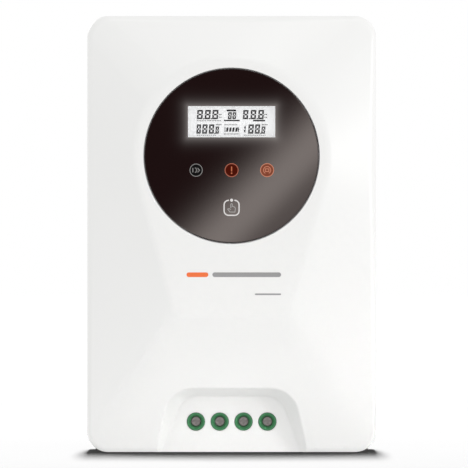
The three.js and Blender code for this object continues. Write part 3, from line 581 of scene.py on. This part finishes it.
def window_seat():
    """The round seat of the window, with a rounded mouth."""
    r, y, bottom = LENS_RADIUS + 0.5, PLATEAU_Y, -43.2
    mouth = [(r + 0.4, y - 0.02), (r + 0.12, y + 0.12), (r, y + 0.5)]
    return turned([(r + 0.4, FRONT_OF_ALL)] + mouth + [(r, bottom)], 0, LENS_Z, 160)


def collar_hole(x):
    """The hole in the recess floor for the round collar of a terminal, with a rounded mouth."""
    r, y, front, back = 6.33, RECESS_FLOOR_Y, -30, -17
    mouth = [(r + 0.32, y - 0.02), (r + 0.09, y + 0.1), (r, y + 0.4)]
    return turned([(r + 0.32, front)] + mouth + [(r, back)], x, POLE_Z, 56)


def seat_openings():
    """The openings in the floor of the seat: the display's, the touch key's and the three lamps'."""
    front, back = -60, -40
    left, right, bottom, top = LCD_WINDOW
    display = block(left - 0.5, right + 0.5, front, back, bottom - 1.0, top + 0.05)
    touch = rod(5.4, front, back, 0, TOUCH_Z, 32)
    lamps = [rod(5, front, back, x, LAMP_Z, 32) for x in (-LAMP_PITCH, 0, LAMP_PITCH)]
    return [display, touch] + lamps


def cover():
    """The moulded cover, hollow, with its openings and the holes for screws and wires."""
    shell = sculpted(0, 0, PLATEAU_Y, EDGE_Y, RIM_Y, SHOWN_COUNTS, blend_steps=9, fillet_steps=8)
    display, touch, *lamps = seat_openings()
    low, high = SOCKET_LOW, SOCKET_HIGH
    through = (-1, WALL + 1)
    socket = block(low.x + 0.5, high.x - 0.5, low.y + 0.5, high.y - 0.8, *through)
    screw_holes = [rod(2.3, 4, 25, x, z, 24) for x, z in COVER_SCREWS]
    display_holes = [rod(1.4, -39.5, -30, x, z, 16) for x, z in DISPLAY_SCREWS]
    collars = [collar_hole(x) for x in POLE_X]
    wires = [upright_rod(6, *through, x, WIRE_ENTRY_Y, 48) for x in POLE_X]
    cut(shell, soft_recess(1.3), cover_space(), window_seat(), display, touch, socket,
        *lamps, *screw_holes, *display_holes, *collars, *wires)
    finish(shell, "cover", SHELL_WHITE, replaces=["front_shell"], smooth=28)


cover()


# ---------------------------------------- flat marks

def plate(points, y, thick=MARK_THICK):
    """A thin flat plate from an outline in X and Z. Its front face lies at y."""
    return loft([[(x, y, z) for x, z in points], [(x, y + thick, z) for x, z in points]])


def stroke(points, width, y, closed=False):
    """A line of even width, drawn along points in X and Z, as one flat plate."""
    n = len(points)
    left, right = [], []
    for i, (x, z) in enumerate(points):
        before = points[(i - 1) % n] if closed or i else points[i]
        after = points[(i + 1) % n] if closed or i < n - 1 else points[i]
        d1 = Vector((x - before[0], z - before[1]))
        d2 = Vector((after[0] - x, after[1] - z))
        d1 = d1.normalized() if d1.length else d2.normalized()
        d2 = d2.normalized() if d2.length else d1
        normal = Vector((-(d1.y + d2.y), d1.x + d2.x)).normalized()
        reach = width / 2 / max(normal.dot(Vector((-d1.y, d1.x))), 0.5)
        left.append((x + normal.x * reach, z + normal.y * reach))
        right.append((x - normal.x * reach, z - normal.y * reach))
    if not closed:
        return plate(left + right[::-1], y)
    back = y + MARK_THICK
    return loft([[(x, depth, z) for x, z in side]
                 for side, depth in ((left, y), (right, y), (right, back), (left, back))], closed=True)


def circle_points(cx, cz, r, start=0.0, end=360.0, count=40):
    """Points along an arc. A whole circle doesn't repeat its first point."""
    whole = abs(end - start) >= 360
    turns = [math.radians(start + (end - start) * i / count) for i in range(count if whole else count + 1)]
    return [(cx + r * math.cos(a), cz + r * math.sin(a)) for a in turns]


def pill(x0, x1, z0, z1, r):
    """A rectangle with rounded corners."""
    points = []
    for k, (x, z) in enumerate(((x1 - r, z1 - r), (x0 + r, z1 - r), (x0 + r, z0 + r), (x1 - r, z0 + r))):
        points += circle_points(x, z, r, 90 * k, 90 * k + 90, 6)
    return points


# ---------------------------------------- display window

def window():
    """The round front glass: black, with a clear pane over the display and a ground edge."""
    _, half_x, bottom, top = LCD_WINDOW
    cz, half_z = (bottom + top) / 2, (top - bottom) / 2
    off = cz - LENS_Z
    corner = math.atan2(half_z, half_x)
    corners = [corner, math.pi - corner, math.pi + corner, 2 * math.pi - corner]
    turns = sorted(round_turns(180) + corners)

    def around_pane(y, reach):
        aims = [(math.cos(a), math.sin(a)) for a in turns]
        return [(dx * reach(dx, dz), y, cz + dz * reach(dx, dz)) for dx, dz in aims]

    def on_circle(radius, y):
        return around_pane(y, lambda dx, dz: -off * dz + math.sqrt(max(radius ** 2 - (off * dx) ** 2, 0)))

    def on_pane(y):
        return around_pane(y, lambda dx, dz: min(half_x / max(abs(dx), 1e-9), half_z / max(abs(dz), 1e-9)))

    r, front, back, ground = LENS_RADIUS, LENS_FRONT, LENS_HIGH.y, 0.45
    rings = [on_pane(front), on_circle(r - 0.8, front)]
    for k in range(5):
        a = QUARTER * k / 4
        rings.append(on_circle(r - ground + ground * math.sin(a), front + ground - ground * math.cos(a)))
    rings += [on_circle(r, back - 0.1), on_circle(r - 0.1, back), on_pane(back)]
    glass = loft(rings)
    for face in glass.data.polygons:
        if len(face.vertices) == len(turns):
            face.material_index = 1
    finish(glass, "display_window", [lens_black(), clear_glass()], replaces=["display_lens"])


window()


# Each lamp mark: its side, place, disc radius, ring radius, and the materials of its disc and ring.
LAMPS = (
    ("left", -LAMP_PITCH, 4.1, 4.25, LAMP_DARK, INK_DIM),
    ("middle", 0.0, 4.35, 4.5, LAMP_RED, INK_RED),
    ("right", LAMP_PITCH, 4.35, 4.5, LAMP_BROWN, INK_RING),
)
FINE_LINE = 0.5


def lamp_marks():
    y, z = PRINT_Y, LAMP_Z
    for side, x, radius, _, ink, _ in LAMPS:
        finish(plate(circle_points(x, z, radius), LAMP_DISC_Y, 0.06), f"lamp_disc_{side}", ink)
    for side, x, _, radius, _, ink in LAMPS:
        ring = stroke(circle_points(x, z, radius, count=56), FINE_LINE, y, closed=True)
        finish(ring, f"lamp_ring_{side}", ink)


def lamp_signs():
    """An arrow, an exclamation mark and a load sign in the three rings."""
    y, z, tall, line = PRINT_Y, LAMP_Z, 1.5, 0.55
    x = -LAMP_PITCH
    bar = [(x - 2.6, z - tall), (x - 1.9, z - tall), (x - 1.9, z + tall), (x - 2.6, z + tall)]
    tail = [(x - 0.9, z + tall), (x - 0.2, z + tall), (x + 0.5, z), (x - 0.2, z - tall), (x - 0.9, z - tall)]
    tip = [(x + 1.0, z + tall), (x + 2.4, z), (x + 1.0, z - tall)]
    arrow = [plate(bar, y), stroke(tail, line, y), stroke(tip, line, y)]
    finish(gather(arrow), "lamp_arrow_left", INK_DIM)

    upper = pill(-0.42, 0.42, z - 0.9, z + 2.5, 0.3)
    alert = [plate(upper, y), plate(circle_points(0, z - 2.1, 0.55, count=20), y)]
    finish(gather(alert), "lamp_alert_middle", INK_ORANGE)

    x = LAMP_PITCH
    inside = [(x - 1.2, z - 0.9), (x - 1.2, z + 0.9), (x + 1.2, z + 0.9), (x + 1.2, z - 0.9)]
    round_it = circle_points(x, z, 2.5, -60, 240, 30)
    load = [stroke(round_it, FINE_LINE, y), stroke(inside, FINE_LINE, y, closed=True)]
    finish(gather(load), "lamp_load_right", INK_RING)


def touch_mark():
    """A square frame with round corners, open at the top where a dot stands, and a hand inside."""
    y, z, line = PRINT_Y, TOUCH_Z, 0.85
    half, r, gap = 5.15, 3.1, 1.9
    c = half - r
    path = (
        [(gap, z + half), (c, z + half)]
        + circle_points(c, z + c, r, 90, 0, 8)
        + circle_points(c, z - c, r, 0, -90, 8)
        + circle_points(-c, z - c, r, 270, 180, 8)
        + circle_points(-c, z + c, r, 180, 90, 8)
        + [(-gap, z + half)]
    )
    clean = [p for i, p in enumerate(path) if not i or math.dist(p, path[i - 1]) > 0.01]
    finish(stroke(clean, line, y), "touch_frame", INK_PALE)
    finish(plate(circle_points(0, z + half + 0.1, 1.05, count=24), y), "touch_dot", INK_PALE)
    finger = [(-0.55, z - 0.2), (-0.55, z + 2.2)] + circle_points(0, z + 2.3, 0.55, 180, 0, 6)
    palm = [(0.55, z + 1.0), (2.2, z + 0.5), (2.6, z - 0.4), (2.3, z - 2.9), (-1.2, z - 2.9)]
    thumb = [(-2.7, z - 0.9), (-1.9, z - 0.5), (-0.55, z - 1.2)]
    finish(stroke(finger + palm + thumb, FINE_LINE, y), "touch_hand", INK_HAND)


lamp_marks()
lamp_signs()
touch_mark()


# ---------------------------------------- display content

SEGMENT_SETS = {"8": "abcdefg", "1": "bc"}
FIGURE_LINE, SMALL_LINE = 1.18, 0.95
FIGURE_SLANT = 0.07


def seven(u, v, w, h, t, digit):
    """The dark strokes of one figure, w wide, h high and t thick, from its lower left corner at (u, v)."""
    g, m = t * 0.04, h / 2
    strokes = {
        "a": [(g, h), (w - g, h), (w - t - g, h - t), (t + g, h - t)],
        "d": [(g, 0), (t + g, t), (w - t - g, t), (w - g, 0)],
        "f": [(0, h - g), (t, h - t - g), (t, m + t / 2 + g), (0, m + g)],
        "b": [(w, h - g), (w, m + g), (w - t, m + t / 2 + g), (w - t, h - t - g)],
        "e": [(0, g), (0, m - g), (t, m - t / 2 - g), (t, t + g)],
        "c": [(w, g), (w - t, t + g), (w - t, m - t / 2 - g), (w, m - g)],
        "g": [(t * 0.6 + g, m), (t + g, m + t / 2), (w - t - g, m + t / 2), (w - t * 0.6 - g, m),
              (w - t - g, m - t / 2), (t + g, m - t / 2)],
    }
    return [[(u + a + b * FIGURE_SLANT, v + b) for a, b in strokes[k]] for k in SEGMENT_SETS[digit]]


def lcd_marks():
    """The display's content. Places are shares of the pane's width and height, from its upper left corner."""
    left, right, bottom, top = LCD_WINDOW
    wide, tall = right - left, top - bottom
    y = LCD_FRONT - 0.04
    dark, faint = [], []

    def at(u, v):
        return left + wide * u, top - tall * v

    def bar(u0, u1, v0, v1, to=dark, lean=0.0):
        (x0, z1), (x1, z0) = at(u0, v0), at(u1, v1)
        to.append(plate([(x0, z0), (x1, z0), (x1 + lean, z1), (x0 + lean, z1)], y))

    def figure(u0, u1, v0, v1, digit="8", line=FIGURE_LINE):
        (x0, z1), (x1, z0) = at(u0, v0), at(u1, v1)
        lean = (z1 - z0) * FIGURE_SLANT
        dark.extend(plate(p, y) for p in seven(x0, z0, x1 - x0 - lean, z1 - z0, line, digit))

    def dot(u, v):
        x, z = at(u, v)
        dark.append(plate(circle_points(x, z, 0.5, count=12), y))

    def dashes(u0, u1, v0, v1, count):
        pitch = (u1 - u0) / count
        for k in range(count):
            bar(u0 + pitch * k, u0 + pitch * (k + 0.72), v0, v1, faint)

    # The upper row of large figures and the lower row, with their points.
    for u0, u1 in ((0.100, 0.174), (0.190, 0.262), (0.276, 0.351),
                   (0.628, 0.695), (0.715, 0.785), (0.802, 0.874)):
        figure(u0, u1, 0.116, 0.416)
    for u in (0.181, 0.268, 0.704, 0.793):
        dot(u, 0.40)
    for u0, u1 in ((0.094, 0.152), (0.160, 0.226), (0.236, 0.302)):
        figure(u0, u1, 0.58, 0.88)
    figure(0.3125, 0.358, 0.648, 0.88, line=SMALL_LINE)
    dot(0.307, 0.868)
    figure(0.618, 0.664, 0.61, 0.86, digit="1")
    for u0, u1 in ((0.688, 0.757), (0.764, 0.829)):
        figure(u0, u1, 0.58, 0.88)
    figure(0.84, 0.889, 0.648, 0.88, line=SMALL_LINE)
    dot(0.834, 0.868)

    # Rows of faint dashes where the small captions are.
    for u0, u1 in ((0.356, 0.389), (0.876, 0.913)):
        dashes(u0, u1, 0.245, 0.285, 2)
        dashes(u0, u1, 0.335, 0.375, 2)
    dashes(0.32, 0.389, 0.568, 0.612, 4)
    dashes(0.847, 0.917, 0.568, 0.612, 4)
    dashes(0.10, 0.385, 0.447, 0.478, 15)
    dashes(0.10, 0.33, 0.915, 0.94, 10)
    dashes(0.64, 0.9, 0.915, 0.94, 12)

    # The middle: a bar, two small figures, and the battery with its leaning charge bars.
    bar(0.444, 0.552, 0.106, 0.165)
    for u0 in (0.456, 0.508):
        figure(u0, u0 + 0.048, 0.19, 0.414, line=SMALL_LINE)
    bar(0.41, 0.594, 0.435, 0.48)
    bar(0.747, 0.885, 0.435, 0.486)
    dashes(0.417, 0.569, 0.58, 0.61, 9)
    for k in range(4):
        u0 = 0.435 + 0.035 * k
        bar(u0, u0 + 0.024, 0.68, 0.815, lean=0.45)
    bar(0.42, 0.428, 0.66, 0.83)
    bar(0.572, 0.58, 0.66, 0.83)
    bar(0.58, 0.588, 0.715, 0.775)
    dashes(0.41, 0.594, 0.872, 0.905, 11)
    finish(gather(dark), "lcd_segments", SEGMENT, weighted=False)
    finish(gather(faint), "lcd_small_marks", FAINT, weighted=False)


lcd_marks()


# ---------------------------------------- stripes on the plateau

def stripes():
    """Plain stripes, sunk a little into the plateau."""
    y, thick = PLATEAU_Y - 0.05, 0.12
    low, high, right, r = 121.4, 124.6, 34, 1.55
    finish(plate(pill(-31, -16, low, high, r), y, thick), "stripe_short", ORANGE)
    finish(plate(pill(-13.2, right, low, high, r), y, thick), "stripe_long", GREY)
    finish(plate(pill(16, right, 109.0, 110.1, 0.5), y, thick), "stripe_thin", GREY)


stripes()


# ---------------------------------------- terminals

def terminal_housing(i, x):
    """A housing with a round collar, a well narrowing to the screw's head, and room for the cage and bar."""
    low, high = box_mm("terminal_housing_1")
    half = (high.x - low.x) / 2
    front = low.y
    face = front + 3.1
    body = block(x - half, x + half, face, high.y, low.z, high.z)
    collar = [(6.05, face + 1), (6.05, front + 0.35), (5.95, front + 0.12), (5.75, front), (5.5, front)]
    mouth = [(5.5, front - 1), (5.5, front - 0.02), (5.3, front + 0.12)]
    funnel = [(4.8, front + 1.0), (4.1, front + 2.4), (3.62, front + 3.5), (3.55, front + 4.1), (3.55, -14)]
    shank_hole = rod(2.9, -15, -11, x, POLE_Z, 40)
    cage_room = block(x - 6, x + 6, -11.5, 11, 14.5, 27.5)
    wire_entry = block(x - 4.1, x + 4.1, WIRE_ENTRY_Y - 4, WIRE_ENTRY_Y + 4, low.z - 1, 31)
    bar_drop = block(x - 3.7, x + 3.7, -1.7, 1, 27, 34.2)
    bar_exit = block(x - 3.7, x + 3.7, -1.7, high.y + 1, 31.4, 34.2)
    join(body, turned(collar, x, POLE_Z, 64))
    cut(body, turned(mouth + funnel, x, POLE_Z, 64), shank_hole, cage_room, wire_entry, bar_drop, bar_exit)
    finish(body, f"clamp_housing_{i}", GREEN, replaces=[f"terminal_housing_{i}"], smooth=40)


def terminal_screw(i, x):
    """A clamp screw with a rounded head and a slot crossed by a shorter one."""
    low, high = box_mm(f"terminal_screw_{i}")
    r, front, shank = (high.x - low.x) / 2, low.y, 2.45
    under = front + 3.0
    dome = [(0.6, front), (r - 0.35, front + 0.01), (r - 0.14, front + 0.08), (r - 0.03, front + 0.25)]
    sides = [(r, front + 0.6), (r, under - 0.2), (r - 0.15, under), (shank, under)]
    tip = [(shank, high.y - 0.5), (shank - 0.5, high.y)]
    screw = turned(dome + sides + tip, x, POLE_Z, 56)
    half_slot, half_arm, deep = 0.5, 1.9, front + 1.3
    slot = block(x - 4, x + 4, front - 1, deep, POLE_Z - half_slot, POLE_Z + half_slot)
    arm = block(x - half_slot, x + half_slot, front - 1, deep, POLE_Z - half_arm, POLE_Z + half_arm)
    cut(screw, slot, arm)
    bevel(screw, 0.08)
    finish(screw, f"clamp_screw_{i}", HEAD_STEEL, body=f"screw_{i}",
           replaces=[f"terminal_screw_{i}"], smooth=40)


for number, pole_x in zip(POLES, POLE_X):
    terminal_housing(number, pole_x)
    terminal_screw(number, pole_x)


# ---------------------------------------- metalwork and fasteners

def refined(node, name, material, width):
    """The node's own shape with its seams welded and its edges broken, as cast, cut or moulded edges are."""
    work = bmesh.new()
    work.from_mesh(frame["nodes"][node].data)
    bmesh.ops.remove_doubles(work, verts=work.verts, dist=1e-6)
    bmesh.ops.dissolve_limit(work, angle_limit=math.radians(0.5), verts=work.verts, edges=work.edges)
    obj = from_bmesh(work)
    obj.data.transform(Matrix.Scale(1 / MM, 4))
    bevel(obj, width)
    finish(obj, name, material, replaces=[node])


def cross(x, z, arm, half_width, front, back):
    """Two crossed bars, as cutting solids."""
    return (block(x - arm, x + arm, front, back, z - half_width, z + half_width),
            block(x - half_width, x + half_width, front, back, z - arm, z + arm))


def pan_screw(node, name):
    """A pan-head screw whose head faces the back, with a cross recess and the rings of its thread."""
    radius, tall, pitch = 4, 2.4, 0.7
    core, crest = radius * 0.41, radius * 0.5
    low, high = box_mm(node)
    x, _, z = middle(node)
    seat = high.y - tall
    profile = [(0.3, low.y), (core * 0.8, low.y)]
    y = low.y + 0.5
    while y < seat - pitch:
        profile += [(core, y), (crest, y + pitch * 0.4), (crest, y + pitch * 0.5), (core, y + pitch * 0.9)]
        y += pitch
    profile += [(core, seat), (radius - 0.12, seat), (radius, seat + 0.15), (radius, seat + tall * 0.35)]
    for k in range(1, 6):
        a = QUARTER * k / 5
        profile.append((radius * 0.3 + radius * 0.7 * math.cos(a), seat + tall * (0.35 + 0.65 * math.sin(a))))
    screw = turned(profile, x, z, 40)
    cut(screw, *cross(x, z, radius * 0.45, radius * 0.11, high.y - tall * 0.6, high.y + 1))
    finish(screw, name, PLATED, replaces=[node], smooth=30)


def winding():
    """Turns of enamelled wire round the ring core, each a closed loop, with a gap below."""
    low, high = box_mm("inductor_core")
    z = middle("inductor_core")[2]
    turn_count, first, sweep = 35, -61, 302
    hole, away, wire, bend = 15.0, 1.4, 1.0, 2.0
    inner, outer = hole - away + bend, high.x + away - bend
    near, far = low.y - away + bend, high.y + away - bend
    wire_sides = round_turns(8)
    path = []
    for r, y, start in ((outer, far, 0), (inner, far, 90), (inner, near, 180), (outer, near, 270)):
        for k in range(5):
            a = math.radians(start + 22.5 * k)
            path.append((r, y, math.cos(a), math.sin(a)))
    turns = []
    for k in range(turn_count):
        around = math.radians(first + sweep * k / (turn_count - 1))
        out = Vector((math.cos(around), 0, math.sin(around)))
        along = Vector((-math.sin(around), 0, math.cos(around)))
        rings = []
        for r, y, in_r, in_y in path:
            normal = out * in_r + Vector((0, in_y, 0))
            centre = out * r + Vector((0, y, z)) + normal * bend
            rings.append([centre + (normal * math.cos(f) + along * math.sin(f)) * wire for f in wire_sides])
        turns.append(loft(rings, closed=True))
    finish(gather(turns), "coil_winding", COPPER, replaces=["inductor_coil"], smooth=70,
           weighted=False)


def capacitor(i):
    """A can in a shrunk sleeve, with a crimp near its foot, a lip round its top and a vent cross in it."""
    low, high = box_mm(f"capacitor_{i}")
    x, _, z = middle(f"capacitor_{i}")
    r, front, back = (high.x - low.x) / 2, low.y, high.y
    lip = [(r - 1.7, front + 1.0), (r - 1.7, front + 0.35), (r - 1.3, front + 0.05), (r - 0.8, front),
           (r - 0.25, front + 0.25), (r, front + 0.9)]
    crimp = [(r, back - 5.4), (r - 0.25, back - 4.8), (r - 0.8, back - 4.2), (r - 0.8, back - 3.8),
             (r - 0.25, back - 3.2), (r, back - 2.6)]
    foot = [(r, back - 0.4), (r - 0.4, back)]
    sleeve = turned(lip + crimp + foot, x, z, 48)
    finish(sleeve, f"capacitor_sleeve_{i}", SLEEVE, replaces=[f"capacitor_{i}"],
           smooth=40)
    top = rod(r - 1.8, front + 0.5, front + 0.95, x, z, 48)
    cut(top, *cross(x, z, r * 0.55, 0.25, front, front + 0.75))
    finish(top, f"capacitor_top_{i}", CAST, smooth=40)


refined("rear_heatsink", "heatsink", CAST, 0.35)
refined("upper_hanger", "hanger_top", ZINC, 0.25)
refined("lower_hanger", "hanger_bottom", ZINC, 0.25)
refined("shell_gasket", "gasket", RUBBER, 0.15)
refined("comm_socket", "data_socket", EPOXY, 0.15)
winding()
for number in range(1, 4):
    capacitor(number)
for number in POLES:
    pan_screw(f"cover_screw_{number}", f"cover_fastener_{number}")
    pan_screw(f"hanger_screw_{number}", f"hanger_fastener_{number}")

# What the frame's own solids are made of, where their shape stays as it is. Numbered nodes share one entry.
BOARD = circuit_board()
CARRIED = {
    "lens_gasket": RUBBER,
    "lcd_panel": LCD_GROUND,
    "lcd_backlight": NYLON,
    "display_board": BOARD,
    "main_board": BOARD,
    "touch_spring": PLATED,
    "main_header": NYLON,
    "ribbon_cable": CABLE,
    "inductor_core": FERRITE,
    "thermal_pad": PAD,
    "clamp_bar": ZINC,
    "light_guide": GUIDE,
    "display_screw": PLATED,
    "board_screw": PLATED,
    "board_spacer": BRASS,
    "mosfet": EPOXY,
    "clamp_cage": PLATED,
    "terminal_tab": TINNED,
}
for name, node in frame["nodes"].items():
    for start, material in CARRIED.items():
        if name == start or name.startswith(start + "_"):
            node.data.materials.clear()
            node.data.materials.append(material)


# ---------------------------------------- stage, light and camera

def sheet(name, half, upright):
    """A flat square round its own origin, upright or lying down."""
    corners = [(-half, -half), (half, -half), (half, half), (-half, half)]
    data = bpy.data.meshes.new(name)
    data.from_pydata([(a, 0, b) if upright else (a, b, 0) for a, b in corners], [], [(0, 1, 2, 3)])
    return add_object(name, data)


# The floor is a lit surface within the first radius, in metres, and plain white beyond the second.
FLOOR_LIT, FLOOR_PLAIN = 0.35, 0.9
PLAIN_WHITE = 1.02


def floor():
    """A floor that takes the object's shadow and turns into plain white further out."""
    obj = sheet("floor", 8.0, upright=False)
    obj.location.z = -0.0003
    material, tree, bsdf = new_material("floor_white")
    feed(tree, bsdf, {"Base Color": (0.06, 0.06, 0.06, 1), "Roughness": 0.9, "Specular IOR Level": 0})
    length = add_node(tree, "VectorMath", {0: object_place(tree)}, operation="LENGTH")
    fade = add_node(tree, "MapRange", {"Value": length.outputs["Value"], "From Min": FLOOR_LIT,
                                       "From Max": FLOOR_PLAIN})
    plain = add_node(tree, "Emission", {"Strength": PLAIN_WHITE})
    mix = add_node(tree, "MixShader", {"Fac": fade.outputs["Result"], 1: bsdf.outputs["BSDF"],
                                       2: plain.outputs["Emission"]})
    feed(tree, tree.nodes["Material Output"], {"Surface": mix.outputs["Shader"]})
    obj.data.materials.append(material)
    obj.visible_diffuse = False
    return obj


# The pale band that the gloss card draws across the black glass, along the glass's falling diagonal. From the
# middle of the glass outwards it rises to its peak and falls to a dimmer shelf. Distances are in millimetres.
BAND_START, BAND_PEAK, BAND_END = -18, 33, 62
BAND_RISE, BAND_FALL = 19, 14.8
BAND_SHELF = 0.4
BAND_STEPS = 16
GLOSS_PEAK = 4.4
GLOSS_TINT = (1, 0.895, 0.84)
CAMERA_DISTANCE = 3.2
CAMERA_X, CAMERA_Z = 0.00165, HEIGHT / 2 * MM
FRAME_WIDTH = 0.3218


def band_share(place):
    """The band's brightness at a place along the diagonal, as a share of its peak."""
    if place < BAND_PEAK:
        return math.exp(-((BAND_PEAK - place) / BAND_RISE) ** 2)
    return BAND_SHELF + (1 - BAND_SHELF) * math.exp(-((place - BAND_PEAK) / BAND_FALL) ** 3)


def gloss_card():
    """A dark card with one soft pale band, seen only in reflections. The window mirrors it to the camera."""
    y = -2.3
    further = (LENS_LOW.y * MM - y) / CAMERA_DISTANCE
    glass_z = LENS_Z * MM
    obj = sheet("gloss_card", 0.5, upright=True)
    obj.location = (-CAMERA_X * further, y, glass_z + (glass_z - CAMERA_Z) * further)
    material, tree, bsdf = new_material("card_gradient")
    tree.nodes.remove(bsdf)
    falling = Vector((1, 0, -1)).normalized()
    across = add_node(tree, "VectorMath", {0: object_place(tree), 1: falling}, operation="DOT_PRODUCT")
    grown = MM * (1 + further)
    spread = add_node(tree, "MapRange", {"Value": across.outputs["Value"], "From Min": BAND_START * grown,
                                         "From Max": BAND_END * grown})
    ramp = add_node(tree, "ValToRGB", {"Fac": spread.outputs["Result"]})
    stops = ramp.color_ramp.elements
    while len(stops) <= BAND_STEPS:
        stops.new(1.0)
    for k, stop in enumerate(stops):
        stop.position = k / BAND_STEPS
        share = band_share(BAND_START + (BAND_END - BAND_START) * k / BAND_STEPS)
        stop.color = (*(share * part for part in GLOSS_TINT), 1)
    emit = add_node(tree, "Emission", {"Color": ramp.outputs["Color"], "Strength": GLOSS_PEAK})
    feed(tree, tree.nodes["Material Output"], {"Surface": emit.outputs["Emission"]})
    obj.data.materials.append(material)
    obj.visible_camera = obj.visible_diffuse = obj.visible_shadow = False
    obj.visible_transmission = obj.visible_volume_scatter = False


def area_light(name, location, target, size, power, length=None, only=None, cone=180):
    """A soft light, round unless it has a length. It lights everything unless it is kept to one object."""
    data = bpy.data.lights.new(name, "AREA")
    data.shape = "ELLIPSE" if length else "DISK"
    data.size = size
    data.size_y = length or size
    data.spread = math.radians(cone)
    data.energy = power
    obj = add_object(name, data)
    obj.location = location
    obj.rotation_euler = (Vector(target) - Vector(location)).to_track_quat("-Z", "Y").to_euler()
    if only is not None:
        lit = bpy.data.collections.new(name + "_lit")
        lit.objects.link(only)
        obj.light_linking.receiver_collection = lit


SURROUND = 0.95


def world():
    """An even light from every side, seen by the camera as plain white."""
    scene_world = bpy.data.worlds.new("studio")
    bpy.context.scene.world = scene_world
    scene_world.use_nodes = True
    tree = scene_world.node_tree
    white = (1, 1, 1, 1)
    surround = tree.nodes["Background"]
    feed(tree, surround, {"Color": white, "Strength": SURROUND})
    backdrop = add_node(tree, "Background", {"Color": white})
    rays = tree.nodes.new("ShaderNodeLightPath")
    mix = add_node(tree, "MixShader", {"Fac": rays.outputs["Is Camera Ray"],
                                       1: surround.outputs["Background"],
                                       2: backdrop.outputs["Background"]})
    feed(tree, tree.nodes["World Output"], {"Surface": mix.outputs["Shader"]})


def camera():
    data = bpy.data.cameras.new("camera")
    data.sensor_width = 36
    data.lens = data.sensor_width * CAMERA_DISTANCE / FRAME_WIDTH
    obj = add_object("camera", data)
    obj.location = (CAMERA_X, LENS_LOW.y * MM - CAMERA_DISTANCE, CAMERA_Z)
    obj.rotation_euler = (QUARTER, 0, 0)
    bpy.context.scene.camera = obj


white_floor = floor()
gloss_card()
# Each light has its place, the point it faces, its size and its power. The key comes from the right, the two
# spots reach the base and the terminal recess, and the wash lights only the floor, from high up behind.
area_light("key", (2.2, -1.0, 0.35), (0, 0, 0.12), 0.6, 9.6)
area_light("top_light", (0.2, -1.2, 1.9), (0, 0, 0.28), 0.8, 3.2)
area_light("base_spot", (1.6, -0.9, 0.08), (0, -0.03, 0), 0.12, 0.02, cone=10)
area_light("recess_spot", (-0.1, -1.9, 0.2), (0, -0.02, 0.02), 0.05, 0.0008, cone=4)
area_light("rear_fill", (-1.3, 1.7, 1.1), (0, 0, 0.15), 0.8, 8)
area_light("floor_wash", (0, 1.7, 8), (0, 1.7, 0), 0.37, 10800, length=3.7, only=white_floor)
world()
camera()
bpy.context.scene.view_settings.view_transform = "Standard"
